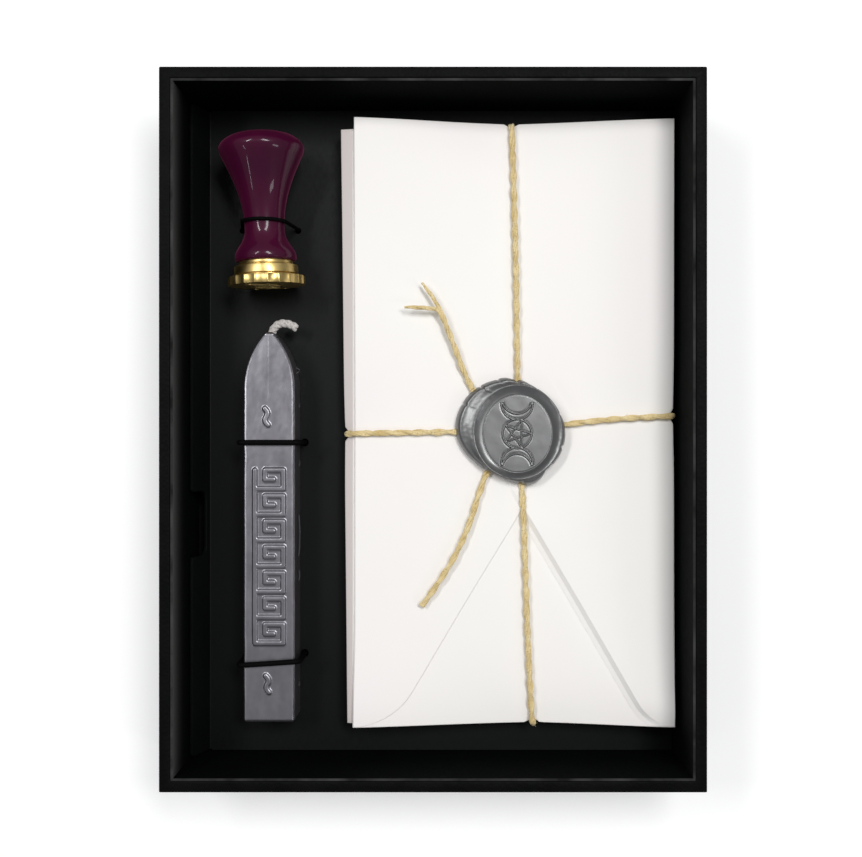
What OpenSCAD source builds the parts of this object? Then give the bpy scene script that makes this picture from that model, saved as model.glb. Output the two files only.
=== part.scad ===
// Wax seal set in a lidless presentation box. The box lies flat, open upwards.
// X runs across the box, Y along it, and the origin is at the centre of its underside.

/* [Box] */
// Outer width of the tray
box_w = 134; // [130:0.5:160]
// Outer length of the tray
box_l = 177.4; // [176:0.2:200]
// Outer height of the tray
box_h = 34; // [33:0.5:60]
// Thickness of the wall board
board_t = 2.2; // [1.5:0.1:3]
// Thickness of the floor board
floor_t = 2; // [1.5:0.1:3]
// Thickness of the covering paper
wrap_t = 0.3; // [0.25:0.05:0.4]
// Depth of the covering paper turned in over the rim
turn_in = 14; // [6:1:24]
// Thickness of the paper on the inside of the floor
floor_paper_t = 0.2; // [0.1:0.05:0.4]
// Thickness of the card that lines the walls
liner_t = 0.6; // [0.4:0.1:1]
// How far the lining card stops below the rim
liner_drop = 0.3; // [0.1:0.1:1]
// Width of a corner stay on each wall
stay_w = 14; // [8:1:24]
// Thickness of a corner stay
stay_t = 0.15; // [0.1:0.05:0.2]

/* [Insert card] */
// Height of the deck's top above the table
deck_z = 8; // [7.6:0.1:12]
// Thickness of the card
card_t = 0.8; // [0.5:0.1:1]
// Gap between the card and the lined walls
card_gap = 0.3; // [0.2:0.1:0.6]
// Distance from the left wall to the crease of the pull flap
crease_off = 3.7; // [3:0.1:4.5]
// Height of the pull flap along its slope
flap_l = 9.2; // [8:0.1:10]
// Width of the thumb notch
notch_w = 17; // [14:1:24]
// Depth of the thumb notch
notch_d = 7.3; // [5:0.1:7.5]
// Corner radius of the thumb notch
notch_r = 2.5; // [1:0.5:4]
// Centre of the thumb notch along the box
notch_y = -24.5; // [-60:0.5:60]

/* [Ties] */
// Thickness of the stamp's elastic tie
tie_d = 0.9; // [0.6:0.1:1.2]
// Thickness of the stick's elastic ties
wax_tie_d = 1.4; // [0.8:0.1:1.6]
// Clearance of a tie to what it holds
tie_gap = 0.15; // [0.1:0.05:0.4]
// Clearance round a tie in its punched hole
tie_hole_gap = 0.35; // [0.2:0.05:0.6]
// Radius of the knot under the deck
tie_knot_r = 1.3; // [1:0.1:1.6]
// Half the distance between the stamp tie's holes
stamp_tie_reach = 7.4; // [6.8:0.1:9]
// Distance from the seal face to the stamp tie, along the stamp
stamp_tie_s = 16; // [14.5:0.1:16.5]
// Distance from the stick's side to a wax tie's hole
wax_tie_reach = 1.2; // [1.1:0.1:2]
// Distance from the stick's foot to its lower tie
wax_tie_lo = 15.3; // [10:0.1:25]
// Distance from the stick's tip to its upper tie
wax_tie_tip = 28.4; // [20:0.1:36]
// Slant of the lower tie across the stick
wax_tie_slant = 0.9; // [0:0.1:2]

/* [Stamp] */
// Distance from the crease to the middle of the seal face
stamp_off = 17; // [16:0.5:20]
// Distance from the far wall to the top of the handle
stamp_wall = 8.4; // [6:0.1:10]
// Turn of the stamp on the card
stamp_yaw = 2.13; // [0:0.01:4]
// Clearance between stamp or stick and the deck
rest_gap = 0.3; // [0.2:0.05:0.5]
// Length of the stamp
stamp_l = 39.8; // [38:0.1:44]
// Largest radius of the handle
handle_r = 10.9; // [10:0.1:12]
// Radius of the handle's neck
neck_r = 5.07; // [4.5:0.01:6]
// Radius of the handle's foot
foot_r = 7.83; // [7:0.01:9]
// Distance from the seal face to the start of the neck
neck_lo = 13.6; // [12:0.1:15]
// Length of the neck
neck_l = 3.2; // [2:0.1:4]
// Radius of the seal head's rim
head_r = 9.9; // [9:0.1:11]
// Thickness of the seal head's rim
rim_t = 2.35; // [1.8:0.05:3]
// Radius of the head's step
step_r = 8.15; // [7.2:0.05:8.8]
// Height of the head with its step
head_h = 5.1; // [4.4:0.1:5.6]
// Number of scallops round the rim
scallops = 20; // [8:1:24]
// Radius of a scallop
scallop_r = 1.3; // [1:0.1:1.5]
// Depth of a scallop
scallop_d = 0.35; // [0.2:0.05:0.6]
// Radius of the loose collar ring
collar_r = 6.93; // [6:0.01:7.2]
// Thickness of the loose collar ring
collar_t = 1.1; // [0.8:0.1:1.6]
// Clearance between head, ring and handle
face_gap = 0.05; // [0.05:0.01:0.1]
// Radius of the screw
stud_r = 2.5; // [2:0.1:2.8]
// Running clearance of the head and the ring on the screw
stud_gap = 0.05; // [0.02:0.01:0.1]
// Length of the screw inside the head
stud_in = 3.6; // [3:0.1:3.8]
// Length of the screw inside the handle
stud_up = 8; // [6:0.5:14]
// Depth of the engraving in the seal face
engrave_d = 0.5; // [0.3:0.05:0.8]

/* [Wax stick] */
// Distance from the crease to the middle of the stick
wax_off = 17.75; // [14:0.25:20]
// Distance from the near wall to the stick's foot
wax_wall = 10.3; // [8:0.1:12]
// Distance from the stick's tip to the seal face
tip_gap = 11.9; // [8:0.1:16]
// Width of the stick
wax_w = 13.1; // [11:0.1:14]
// Thickness of the stick
wax_h = 11.2; // [9:0.1:12]
// Length of the stick's pointed end
point_l = 14.7; // [12:0.1:16]
// Radius of the pointed end's curved sides
point_r = 21.7; // [18:0.1:24]
// Draft of the long sides, which makes the stick narrower at the top
wax_draft = 0.15; // [0:0.05:0.3]
// Height of the raised ornament
relief_h = 0.45; // [0.3:0.05:0.7]
// Width of the raised key band
key_w = 8.4; // [6:0.1:9]
// Length of one key
key_l = 6.6; // [5:0.1:9]
// Stroke of the keys and waves
key_t = 1.1; // [0.8:0.1:1.4]
// Radius of the raised waves
wave_r = 1.6; // [1.2:0.1:2]
// Thickness of the wick
wick_d = 2.2; // [1.6:0.1:2.6]
// Clearance of the wick in the wax
wick_gap = 0.02; // [0.01:0.01:0.05]

/* [Envelopes] */
// Distance from the stick to the top envelope
env_gap = 15; // [14:0.5:22]
// Distance from the far wall to the top envelope
env_far = 4.5; // [4:0.1:12]
// Distance from the near wall to the top envelope
env_near = 9.1; // [8:0.1:16]
// Thickness of one folded envelope
env_t = 0.9; // [0.7:0.05:1.2]
// Thickness of the paper
paper_t = 0.15; // [0.1:0.01:0.2]
// Distance from the right wall to the top envelope
env_wall = 1.2; // [1:0.1:2]
// How far the lower envelopes lie to the left of the top one
env_slip = 2.7; // [1.5:0.1:4]
// How far the lower envelopes lie nearer than the top one
env_drop = 2; // [1:0.1:2.5]
// Turn of the second envelope
env_turn = 0.6; // [0:0.05:1]
// Dent of the top envelope's edge under the twine
dent_d = 1.3; // [1.2:0.05:2]

/* [Twine and seal] */
// Thickness of the twine
twine_d = 1.8; // [1.2:0.1:2]
// Clearance of the twine to the paper
twine_gap = 0.05; // [0.05:0.01:0.1]
// Radius of the knot
knot_r = 2.4; // [2:0.1:3]
// Height of the knot
knot_h = 2.6; // [2.2:0.1:2.8]
// Distance from the top envelope's middle to the knot
knot_off = 1; // [-3:0.5:4]
// Middle of the knot along the box
knot_y = -0.2; // [-4:0.1:4]
// Height of the wax seal's ridge
seal_h = 4.6; // [4.4:0.1:6]
// Depth of the impression below the ridge
press_d = 1.3; // [0.6:0.1:1.4]
// Radius of the impression
press_r = 9.75; // [9:0.05:10]
// Radius of the ridge's crest round the impression
crest_r = 10.9; // [10.4:0.1:11.4]
// Height of the raised emblem
emblem_h = 0.3; // [0.2:0.05:0.5]
// Radius of the emblem's ring
ring_r = 3.8; // [3:0.1:4.2]
// Stroke of the emblem's lines
line_t = 0.45; // [0.3:0.05:0.6]

/* [Hidden] */
$fn = 64;
over = 1;

// Tray
board_w = box_w - 2 * wrap_t;
board_l = box_l - 2 * wrap_t;
hollow_w = board_w - 2 * board_t;
hollow_l = board_l - 2 * board_t;
floor_z = wrap_t + floor_t;
base_z = floor_z + floor_paper_t;
inner_w = hollow_w - 2 * (wrap_t + liner_t);
inner_l = hollow_l - 2 * (wrap_t + liner_t);

// Insert card
crease_x = -inner_w / 2 + crease_off;
crease_z = deck_z - card_t / 2;
crease_r = 0.44 * card_t;
card_l = inner_l - 2 * card_gap;
card_right = inner_w / 2 - card_gap;
deck_edge = 0.6 * card_t;
flap_lean = asin((crease_off - card_gap - card_t / 2) / flap_l);
score_l = 1.25 * card_t;

// Stamp: s runs from the seal face up the stamp's axis
max_s = stamp_l - 4.7;
stamp_tilt = atan((handle_r - head_r) / max_s);
stamp_x = crease_x + stamp_off;
stamp_y = inner_l / 2 - stamp_wall - stamp_l;
stamp_z = deck_z + rest_gap + head_r * cos(stamp_tilt);
collar_s = head_h + face_gap;
handle_s = collar_s + collar_t + face_gap;
bore_r = stud_r + stud_gap;
neck_x = stamp_x - stamp_tie_s * sin(stamp_yaw);
neck_y = stamp_y + stamp_tie_s * cos(stamp_yaw);
neck_z = stamp_z + stamp_tie_s * sin(stamp_tilt);

// Wax stick
wax_x = crease_x + wax_off;
wax_y = -inner_l / 2 + wax_wall;
wax_l = stamp_y - tip_gap - wax_y;
wax_tie_hi = wax_l - wax_tie_tip;
wax_z = deck_z + rest_gap;
wax_top = wax_z + wax_h;
tip_y = wax_y + wax_l;
wick_z = wax_z + wax_h / 2;
// The wick's bent end, counted from the stick's tip
wick_route = [[0, -2, 0], [0, 0.6, 0], [0.9, 1.8, 0.3], [2.3, 2.7, 0.6], [4, 2.9, 0.7],
    [5.8, 2.4, 0.5], [7.3, 1.4, 0.2]];
key_from = wax_tie_lo + 4.5;
key_to = wax_tie_hi - 3;
key_count = floor((key_to - key_from) / key_l);

// Bundle: the twine's two runs cross under it
twine_r = twine_d / 2;
long_z = deck_z + twine_gap + twine_r;
short_hump = twine_d + twine_gap;
bundle_z = deck_z + 2 * twine_d + 3 * twine_gap;
paper_z = bundle_z + 5 * env_t;
run_z = paper_z + twine_gap + twine_r;
env_right = inner_w / 2 - env_wall;
env_w = env_right - (wax_x + wax_w / 2 + env_gap);
env_l = inner_l - env_far - env_near;
env_x = env_right - env_w / 2;
env_y = (env_near - env_far) / 2;
low_x = env_x - env_slip;
low_y = env_y - env_drop;
// Place and turn of each envelope, from the top one down
ENVELOPES = [
    [env_x, env_y, 0], [low_x, low_y, env_turn], [low_x + 0.5, low_y - 0.2, env_turn * 0.7],
    [low_x - 0.1, low_y + 0.3, env_turn * 1.1], [low_x + 0.4, low_y + 0.1, env_turn * 0.8]
];
function reach(e, w, l) = w / 2 * cos(e[2]) + l / 2 * sin(e[2]);
bundle_left = min([for (e = ENVELOPES) e[0] - reach(e, env_w, env_l)]);
bundle_near = min([for (e = ENVELOPES) e[1] - reach(e, env_l, env_w)]);
bundle_far = max([for (e = ENVELOPES) e[1] + reach(e, env_l, env_w)]);
bundle_right = env_right - dent_d;

// Twine and seal
knot_x = env_x + knot_off;
seal_z = paper_z + twine_gap;
seal_c = [knot_x - 2.05, knot_y - 0.15];
press_c = [knot_x - 0.2, knot_y - 0.4];
// Where the twine's four runs reach the bundle's edges
far_x = knot_x - 1.7;
near_x = knot_x + 3.8;
left_y = knot_y - 0.7;
right_y = knot_y + 3.8;
run_far = run([far_x, bundle_far], [0.2, 0.45, 0.7], 0.3);
run_near = run([near_x, bundle_near], [0.2, 0.5, 0.75], 0.6);
run_left = run([bundle_left, left_y], [0.42, 0.7], 0);
run_right = run([bundle_right, right_y], [0.4, 0.7], -0.8);
// The two tails, from the knot: the first point is where the tail leaves the seal
tail_upper = [[-12, 10.8, 0], [-13, 13, 0], [-14.2, 15.5, 0], [-15.5, 18.9, 0.1], [-16.8, 22.3, 0.3],
    [-18.4, 26.4, 0.5], [-20.2, 30.7, 0.7], [-22.2, 34.4, 0.8], [-24.9, 38.1, 0.6]];
tail_lower = [[-8.6, -11.6, 0], [-9.6, -14.6, 0], [-10.8, -18, 0.1], [-12, -22, 0.2], [-14.3, -27.8, 0.3],
    [-17.2, -33.6, 0.4], [-20.1, -38.2, 0.4], [-22.6, -41.9, 0.3], [-25, -45.2, 0.2]];
// Radius of the seal's edge every 22.5 degrees
seal_radii = [14.2, 13.6, 13.2, 13.2, 14, 14, 14.3, 14.4, 14.2, 13.1, 12.1, 12, 13, 14.8, 13.9, 14.2];
// Steps from the seal's edge, 0, to its crest, 1, each with its height
seal_steps = [[0.03, 0], [0, 0.16], [0.1, 0.42], [0.34, 0.7], [0.7, 0.93], [1, 1]];

function unit(v) = v / norm(v);
// Points on the way from the knot to an edge, counted from the knot, bowed to the right of it
function run(to, shares, bow) = let (way = to - [knot_x, knot_y], aside = unit([way[1], -way[0]]))
    [for (t = shares) way * t + aside * bow * 4 * t * (1 - t)];
function bezier(p, n) = [for (i = [0:n]) let (t = i / n, u = 1 - t)
    u * u * u * p[0] + 3 * u * u * t * p[1] + 3 * u * t * t * p[2] + t * t * t * p[3]];
function ring_at(route, i, r, sides, ref) =
    let (t = unit(route[min(i + 1, len(route) - 1)] - route[max(i - 1, 0)]),
        u = unit(ref - (ref * t) * t), v = cross(t, u))
    [for (j = [0:sides - 1]) route[i] + r * (cos(360 * j / sides) * u + sin(360 * j / sides) * v)];

// A round tube along a route; ref is a direction that the route never runs along
module tube(route, r, ref, sides = 8) {
    rings = len(route);
    points = [for (i = [0:rings - 1]) each ring_at(route, i, r, sides, ref)];
    walls = [for (i = [0:rings - 2], j = [0:sides - 1])
        let (a = i * sides + j, b = i * sides + (j + 1) % sides)
        each [[a, a + sides, b + sides], [a, b + sides, b]]];
    first = [for (j = [0:sides - 1]) j];
    last = [for (j = [sides - 1:-1:0]) (rings - 1) * sides + j];
    polyhedron(points, concat([first], walls, [last]));
}

// A rectangular block centred on the origin in X and Y, from z0 up to z1
module block(w, l, z0, z1) {
    translate([-w / 2, -l / 2, z0]) cube([w, l, z1 - z0]);
}

// Four walls of thickness t inside a rectangle, from z0 up to z1
module walls(w, l, t, z0, z1) {
    difference() {
        block(w, l, z0, z1);
        block(w - 2 * t, l - 2 * t, z0 - over, z1 + over);
    }
}

module tray_board() {
    color("gray") difference() {
        block(board_w, board_l, wrap_t, box_h - wrap_t);
        block(hollow_w, hollow_l, floor_z, box_h);
    }
}

module stay_shape() {
    intersection() {
        walls(board_w + 2 * stay_t, board_l + 2 * stay_t, stay_t, 3, box_h - 3);
        for (x = [-1, 1], y = [-1, 1])
            translate([x * board_w / 2, y * board_l / 2, 0]) block(2 * stay_w, 2 * stay_w, 0, box_h);
    }
}

module corner_stays() {
    color("tan") stay_shape();
}

module tray_wrap() {
    color([0.07, 0.07, 0.07]) difference() {
        union() {
            difference() {
                block(box_w, box_l, 0, box_h);
                block(board_w, board_l, wrap_t, box_h - wrap_t);
                block(hollow_w - 2 * wrap_t, hollow_l - 2 * wrap_t, wrap_t, box_h + over);
            }
            walls(hollow_w, hollow_l, wrap_t, box_h - wrap_t - turn_in, box_h - wrap_t);
        }
        stay_shape();
    }
}

module floor_paper() {
    color([0.05, 0.05, 0.05]) block(hollow_w, hollow_l, floor_z, base_z);
}

module wall_liner() {
    color([0.08, 0.08, 0.08])
        walls(inner_w + 2 * liner_t, inner_l + 2 * liner_t, liner_t, base_z, box_h - liner_drop);
}

// Two punched holes for a tie, at equal distances from x, skewed along the box
module tie_holes(x, y, half, d, skew = 0) {
    for (side = [-1, 1]) translate([x + side * half, y + side * skew, deck_z - card_t - over])
        cylinder(d = d + 2 * tie_hole_gap, h = card_t + 2 * over, $fn = 24);
}

module insert_card() {
    deck_w = card_right - crease_x - deck_edge;
    color([0.09, 0.09, 0.1]) difference() {
        union() {
            translate([crease_x + deck_edge, -card_l / 2, deck_z - card_t]) cube([deck_w, card_l, card_t]);
            for (y = [-card_l / 2, card_l / 2 - card_t])
                translate([crease_x + deck_edge, y, base_z]) cube([deck_w, card_t, deck_z - base_z]);
            translate([card_right - card_t, -card_l / 2, base_z]) cube([card_t, card_l, deck_z - base_z]);
            translate([crease_x, -card_l / 2, crease_z]) {
                rotate([-90, 0, 0]) cylinder(r = crease_r, h = card_l, $fn = 24);
                translate([0, 0, -card_t / 5]) cube([deck_edge + over, card_l, card_t * 2 / 5]);
            }
        }
        tie_holes(neck_x, neck_y, stamp_tie_reach, tie_d);
        tie_holes(wax_x, wax_y + wax_tie_hi, wax_w / 2 + wax_tie_reach, wax_tie_d);
        tie_holes(wax_x, wax_y + wax_tie_lo, wax_w / 2 + wax_tie_reach, wax_tie_d, wax_tie_slant / 2);
    }
}

module pull_flap() {
    half_t = card_t / 2;
    notch_z = flap_l - notch_d;
    color([0.08, 0.08, 0.09]) translate([crease_x, 0, crease_z]) rotate([0, -flap_lean, 0]) difference() {
        rotate([90, 0, 0]) linear_extrude(card_l - 2 * card_gap, center = true)
            polygon([[-half_t / 4, score_l / 2], [half_t / 4, score_l / 2], [half_t, score_l],
                [half_t, flap_l], [-half_t, flap_l], [-half_t, score_l]]);
        translate([-over, notch_y - notch_w / 2, notch_z]) {
            translate([0, 0, notch_r]) cube([2 * over, notch_w, notch_d]);
            translate([0, notch_r, 0]) cube([2 * over, notch_w - 2 * notch_r, notch_r + over]);
            for (y = [notch_r, notch_w - notch_r]) translate([0, y, notch_r])
                rotate([0, 90, 0]) cylinder(r = notch_r, h = 2 * over);
        }
    }
}

// The stretch of a tie below the deck, from its knot to a hole at x
function under_deck(x, y, mid) = let (z = deck_z - card_t - tie_knot_r)
    [[mid + (x > mid ? 0.5 : -0.5), y, z], [x, y, z + 0.5], [x, y, deck_z]];
function flipped(route) = [for (i = [len(route) - 1:-1:0]) route[i]];

module tie(route, d, knot) {
    knot_half = 1.2;
    color([0.06, 0.06, 0.06]) {
        tube(route, d / 2, [0, 1, 0]);
        translate(knot) rotate([90, 0, 0]) rotate_extrude()
            polygon([[0, -knot_half], [tie_knot_r - 0.4, -knot_half], [tie_knot_r, 0.6 - knot_half],
                [tie_knot_r, knot_half - 0.6], [tie_knot_r - 0.4, knot_half], [0, knot_half]]);
    }
}

module stamp_tie() {
    hug_r = neck_r + tie_d / 2 + tie_gap;
    drop = neck_z - deck_z;
    from = acos(hug_r / norm([stamp_tie_reach, drop])) - atan(drop / stamp_tie_reach);
    over_neck = [for (i = [0:8]) let (a = from + (180 - 2 * from) * i / 8)
        [neck_x + hug_r * cos(a), neck_y, neck_z + hug_r * sin(a)]];
    right = under_deck(neck_x + stamp_tie_reach, neck_y, neck_x);
    left = under_deck(neck_x - stamp_tie_reach, neck_y, neck_x);
    tie(concat(right, over_neck, flipped(left)), tie_d, [neck_x, neck_y, deck_z - card_t - tie_knot_r]);
}

module wax_tie(y, slant) {
    side = wax_w / 2 + wax_tie_reach;
    up = wax_tie_d / 2 + tie_gap;
    in = up / 2;
    bend = [[side, slant / 2, 0], [side - in, slant / 2, up],
        [in - side, -slant / 2, up], [-side, -slant / 2, 0]];
    right = under_deck(wax_x + side, y + slant / 2, wax_x);
    left = under_deck(wax_x - side, y - slant / 2, wax_x);
    tie(concat(right, [for (b = bend) [wax_x, y, wax_top] + b], flipped(left)), wax_tie_d,
        [wax_x, y, deck_z - card_t - tie_knot_r]);
}

module wax_tie_upper() {
    wax_tie(wax_y + wax_tie_hi, 0);
}

module wax_tie_lower() {
    wax_tie(wax_y + wax_tie_lo, wax_tie_slant);
}

// Puts a shape built along +Z from the seal face where the stamp lies
module on_stamp() {
    translate([stamp_x, stamp_y, stamp_z]) rotate([stamp_tilt - 90, 0, stamp_yaw]) children();
}

// Half outline of the handle: foot, neck, trumpet, shoulder and domed end
function handle_outline() = concat(
    [[0, handle_s], [foot_r - 0.5, handle_s], [foot_r, handle_s + 0.8]],
    bezier([[foot_r, handle_s + 1.2], [foot_r - 0.1, handle_s + 3.4],
        [neck_r, neck_lo - 2.9], [neck_r, neck_lo]], 8),
    bezier([[neck_r, neck_lo + neck_l], [neck_r, neck_lo + 2.9 * neck_l],
        [handle_r - 3.5, max_s - handle_r * 0.74], [handle_r - 0.3, max_s - 1.5]], 12),
    bezier([[handle_r - 0.15, max_s - 0.9], [handle_r + 0.35, max_s + 0.5], [handle_r - 0.6, stamp_l - 3],
        [handle_r - 2.6, stamp_l - 1.9]], 8),
    bezier([[handle_r - 3.2, stamp_l - 1.6], [handle_r - 5, stamp_l - 0.6],
        [3, stamp_l], [0, stamp_l]], 6));

module stamp_handle() {
    color([0.3, 0.06, 0.22]) on_stamp() difference() {
        rotate_extrude() polygon(handle_outline());
        translate([0, 0, handle_s - over]) cylinder(r = stud_r, h = stud_up + over);
    }
}

module head_stud() {
    color("silver") on_stamp() translate([0, 0, head_h - stud_in])
        cylinder(r = stud_r, h = handle_s + stud_up - head_h + stud_in);
}

module collar_ring() {
    edge = 0.25;
    color([0.85, 0.65, 0.3]) on_stamp() translate([0, 0, collar_s]) difference() {
        rotate_extrude() polygon([[0, 0], [collar_r - edge, 0], [collar_r, edge],
            [collar_r, collar_t - edge], [collar_r - edge, collar_t], [0, collar_t]]);
        translate([0, 0, -over]) cylinder(r = bore_r, h = collar_t + 2 * over);
    }
}

// Crescent lying on its back: horns to the sides, open upwards
module crescent() {
    depth = ring_r * 1.15;
    outer = (ring_r * ring_r + depth * depth) / (2 * depth);
    inner = outer * 1.012;
    difference() {
        translate([0, outer]) circle(outer);
        translate([0, depth * 0.28 + inner]) circle(inner);
        translate([-2 * outer, depth]) square([4 * outer, 2 * outer]);
    }
}

// Old moon emblem: a ring with a five-pointed star between two crescents
module emblem() {
    difference() {
        circle(ring_r);
        circle(ring_r - line_t);
    }
    span = ring_r - line_t / 2;
    for (i = [0:4]) let (a = 72 * i, p = span * [cos(a), sin(a)], q = span * [cos(a + 144), sin(a + 144)])
        translate(p) rotate(atan2(q[1] - p[1], q[0] - p[0]))
            translate([0, -line_t / 2]) square([norm(q - p), line_t]);
    for (side = [0, 1]) rotate(180 * side) translate([0, ring_r - line_t / 2]) crescent();
}

module seal_head() {
    edge = 0.3;
    groove = 0.35;
    color([0.85, 0.65, 0.3]) on_stamp() difference() {
        rotate_extrude() polygon([[0, 0], [head_r - edge, 0], [head_r, edge], [head_r, rim_t - edge],
            [head_r - edge, rim_t], [step_r - groove, rim_t], [step_r - groove, rim_t + 0.3],
            [step_r, rim_t + 0.6], [step_r, head_h - edge], [step_r - edge, head_h], [0, head_h]]);
        for (i = [0:scallops - 1]) rotate(360 * (i + 0.5) / scallops)
            translate([head_r + scallop_r - scallop_d, 0, -over])
                cylinder(r = scallop_r, h = rim_t + over + 0.2);
        translate([0, 0, head_h - stud_in - 0.3]) cylinder(r = bore_r, h = head_h);
        translate([0, 0, -over]) linear_extrude(over + engrave_d) mirror([1, 0]) emblem();
    }
}

// Outline of the stick's flat side, narrower by inset at each long side
module stick_outline(inset) {
    half = wax_w / 2 - inset;
    straight = wax_l - point_l;
    translate([-half, 0]) square([2 * half, straight]);
    intersection() {
        translate([point_r - half, straight]) circle(point_r, $fn = 128);
        translate([half - point_r, straight]) circle(point_r, $fn = 128);
        translate([-half, straight - over]) square([2 * half, point_l + over]);
    }
}

// A raised wave across the stick: two arcs that meet
module wave() {
    for (side = [-1, 1]) translate([0, side * wave_r * 0.86]) difference() {
        circle(wave_r);
        circle(wave_r - key_t * 0.8);
        translate([side > 0 ? -2 * wave_r : 0, -2 * wave_r]) square([2 * wave_r, 4 * wave_r]);
    }
}

// One hooked key standing on the band's rail
module key() {
    span = key_w - key_t;
    // Two corners of each stroke: across in shares of the band's width, along in shares of a key
    strokes = [[0, 0, 0, 1], [0, 0, 1, 0], [1, 0, 1, 0.72], [0.36, 0.72, 1, 0.72], [0.36, 0.36, 0.36, 0.72],
        [0.36, 0.36, 0.66, 0.36]];
    for (b = strokes) translate([b[0] * span - key_w / 2, b[1] * key_l])
        square([(b[2] - b[0]) * span + key_t, (b[3] - b[1]) * key_l + key_t]);
}

module wax_bar() {
    color([0.5, 0.49, 0.52]) difference() {
        translate([wax_x, wax_y, 0]) {
            translate([0, 0, wax_z]) linear_extrude(wax_h / 2) stick_outline(0);
            translate([0, 0, wax_z + wax_h / 2]) linear_extrude(wax_h / 2) stick_outline(wax_draft);
            translate([0, 0, wax_top - over]) linear_extrude(over + relief_h) {
                for (i = [0:key_count - 1]) translate([0, key_from + key_l * i]) key();
                for (y = [wax_tie_lo - 6.5, wax_tie_hi + 7.5]) translate([0, y]) wave();
            }
        }
        translate([wax_x, wax_y - over, wick_z]) rotate([-90, 0, 0])
            cylinder(d = wick_d + 2 * wick_gap, h = wax_l + 2 * over);
    }
}

module wick() {
    color([0.88, 0.86, 0.8]) {
        translate([wax_x, wax_y, wick_z]) rotate([-90, 0, 0]) cylinder(d = wick_d, h = wax_l);
        tube([for (p = wick_route) [wax_x, tip_y, wick_z] + p], wick_d / 2, [0, 0, 1]);
    }
}

// One folded envelope, its back upwards: sheet, side panel and closing flap
module envelope(i) {
    place = ENVELOPES[i];
    half_w = env_w / 2;
    half_l = env_l / 2;
    tip = [1, 0.03 * env_l];
    curl = env_w / 10;
    z = paper_z - env_t * (i + 1);
    color([0.95, 0.94, 0.93]) difference() {
        translate([place[0], place[1], z]) rotate(place[2]) {
            translate([-half_w, -half_l, 0]) cube([env_w, env_l, env_t - 2 * paper_t]);
            linear_extrude(env_t - paper_t) polygon([[half_w, half_l], tip + [-curl / 2, curl],
                tip + [-curl, 0], tip + [-curl / 2, -curl], [half_w, -half_l]]);
            linear_extrude(env_t) polygon([[-half_w, -half_l], [curl - half_w, curl / 2 - half_l],
                tip + [-0.6, -0.9] * curl, tip + [-1, 0], tip + [-0.6, 0.9] * curl,
                [curl - half_w, half_l - curl / 2], [-half_w, half_l]]);
        }
        if (i == 0) translate([bundle_right, right_y - twine_r - 0.3, z - over])
            cube([dent_d + over, twine_d + 0.6, env_t + 2 * over]);
    }
}

module envelope_1() {
    envelope(0);
}

module envelope_2() {
    envelope(1);
}

module envelope_3() {
    envelope(2);
}

module envelope_4() {
    envelope(3);
}

module envelope_5() {
    envelope(4);
}

// Bends a run of twine round the bundle's edge: dir is 1 or -1 along the given axis
function edge_turn(at, dir, along, top) =
    let (r = twine_r + 2 * twine_gap, z = top ? paper_z : bundle_z, s = top ? 1 : -1)
    [for (a = [90, 45, 0]) along == 1
        ? [at[0], at[1] + dir * r * cos(a), z + s * r * sin(a)]
        : [at[0] + dir * r * cos(a), at[1], z + s * r * sin(a)]];
function lifted(pairs, z) = [for (p = pairs) [knot_x + p[0], knot_y + p[1], z]];
// Start of a run, just inside the knot
function at_knot(p) = let (d = unit(p)) [[knot_x, knot_y, run_z] + (knot_r - 0.4) * [d[0], d[1], 0]];

module twine_loop_long() {
    far_at = [far_x, bundle_far];
    near_at = [near_x, bundle_near];
    color([0.8, 0.7, 0.45]) tube(concat(
        at_knot(run_far[0]), lifted(run_far, run_z),
        edge_turn(far_at, 1, 1, true), flipped(edge_turn(far_at, 1, 1, false)),
        [for (t = [0.1:0.2:0.9]) let (p = far_at + (near_at - far_at) * t) [p[0], p[1], long_z]],
        edge_turn(near_at, -1, 1, false), flipped(edge_turn(near_at, -1, 1, true)),
        flipped(lifted(run_near, run_z)), at_knot(run_near[0])), twine_r, [1, 0, 0]);
}

module twine_loop_short() {
    right_at = [bundle_right, right_y];
    left_at = [bundle_left, left_y];
    cross_t = (bundle_right - (far_x + near_x) / 2) / (bundle_right - bundle_left);
    color([0.8, 0.7, 0.45]) tube(concat(
        at_knot(run_right[0]), lifted(run_right, run_z),
        edge_turn(right_at, 1, 0, true), flipped(edge_turn(right_at, 1, 0, false)),
        [for (t = [[-0.33, 0], [-0.08, 0], [-0.03, 1], [0.03, 1], [0.08, 0], [0.33, 0]])
            let (p = right_at + (left_at - right_at) * (cross_t + t[0]))
            [p[0], p[1], long_z + t[1] * short_hump]],
        edge_turn(left_at, -1, 0, false), flipped(edge_turn(left_at, -1, 0, true)),
        flipped(lifted(run_left, run_z)), at_knot(run_left[0])), twine_r, [0, 1, 0]);
}

// The knot's two ends run on inside the seal to where the tails leave it
module knot_end(p, r) {
    translate([knot_x, knot_y, run_z]) rotate([0, 90, atan2(p[1], p[0])])
        cylinder(r = r, h = norm([p[0], p[1]]));
}

module knot_blob(grow) {
    r = knot_r + grow;
    h = knot_h + grow;
    translate([knot_x, knot_y, seal_z]) rotate_extrude()
        polygon([[0, 0], [r - 0.6, 0], [r, 0.6], [r, h - 1], [r - 0.3, h - 0.4], [r - 1, h], [0, h]]);
}

module twine_knot() {
    color([0.78, 0.68, 0.42]) {
        knot_blob(0);
        knot_end(tail_upper[0], twine_r);
        knot_end(tail_lower[0], twine_r);
    }
}

module tail(route) {
    color([0.8, 0.7, 0.45]) tube([for (p = route) [knot_x, knot_y, run_z] + p], twine_r, [0, 0, 1]);
}

module twine_tail_upper() {
    tail(tail_upper);
}

module twine_tail_lower() {
    tail(tail_lower);
}

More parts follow.
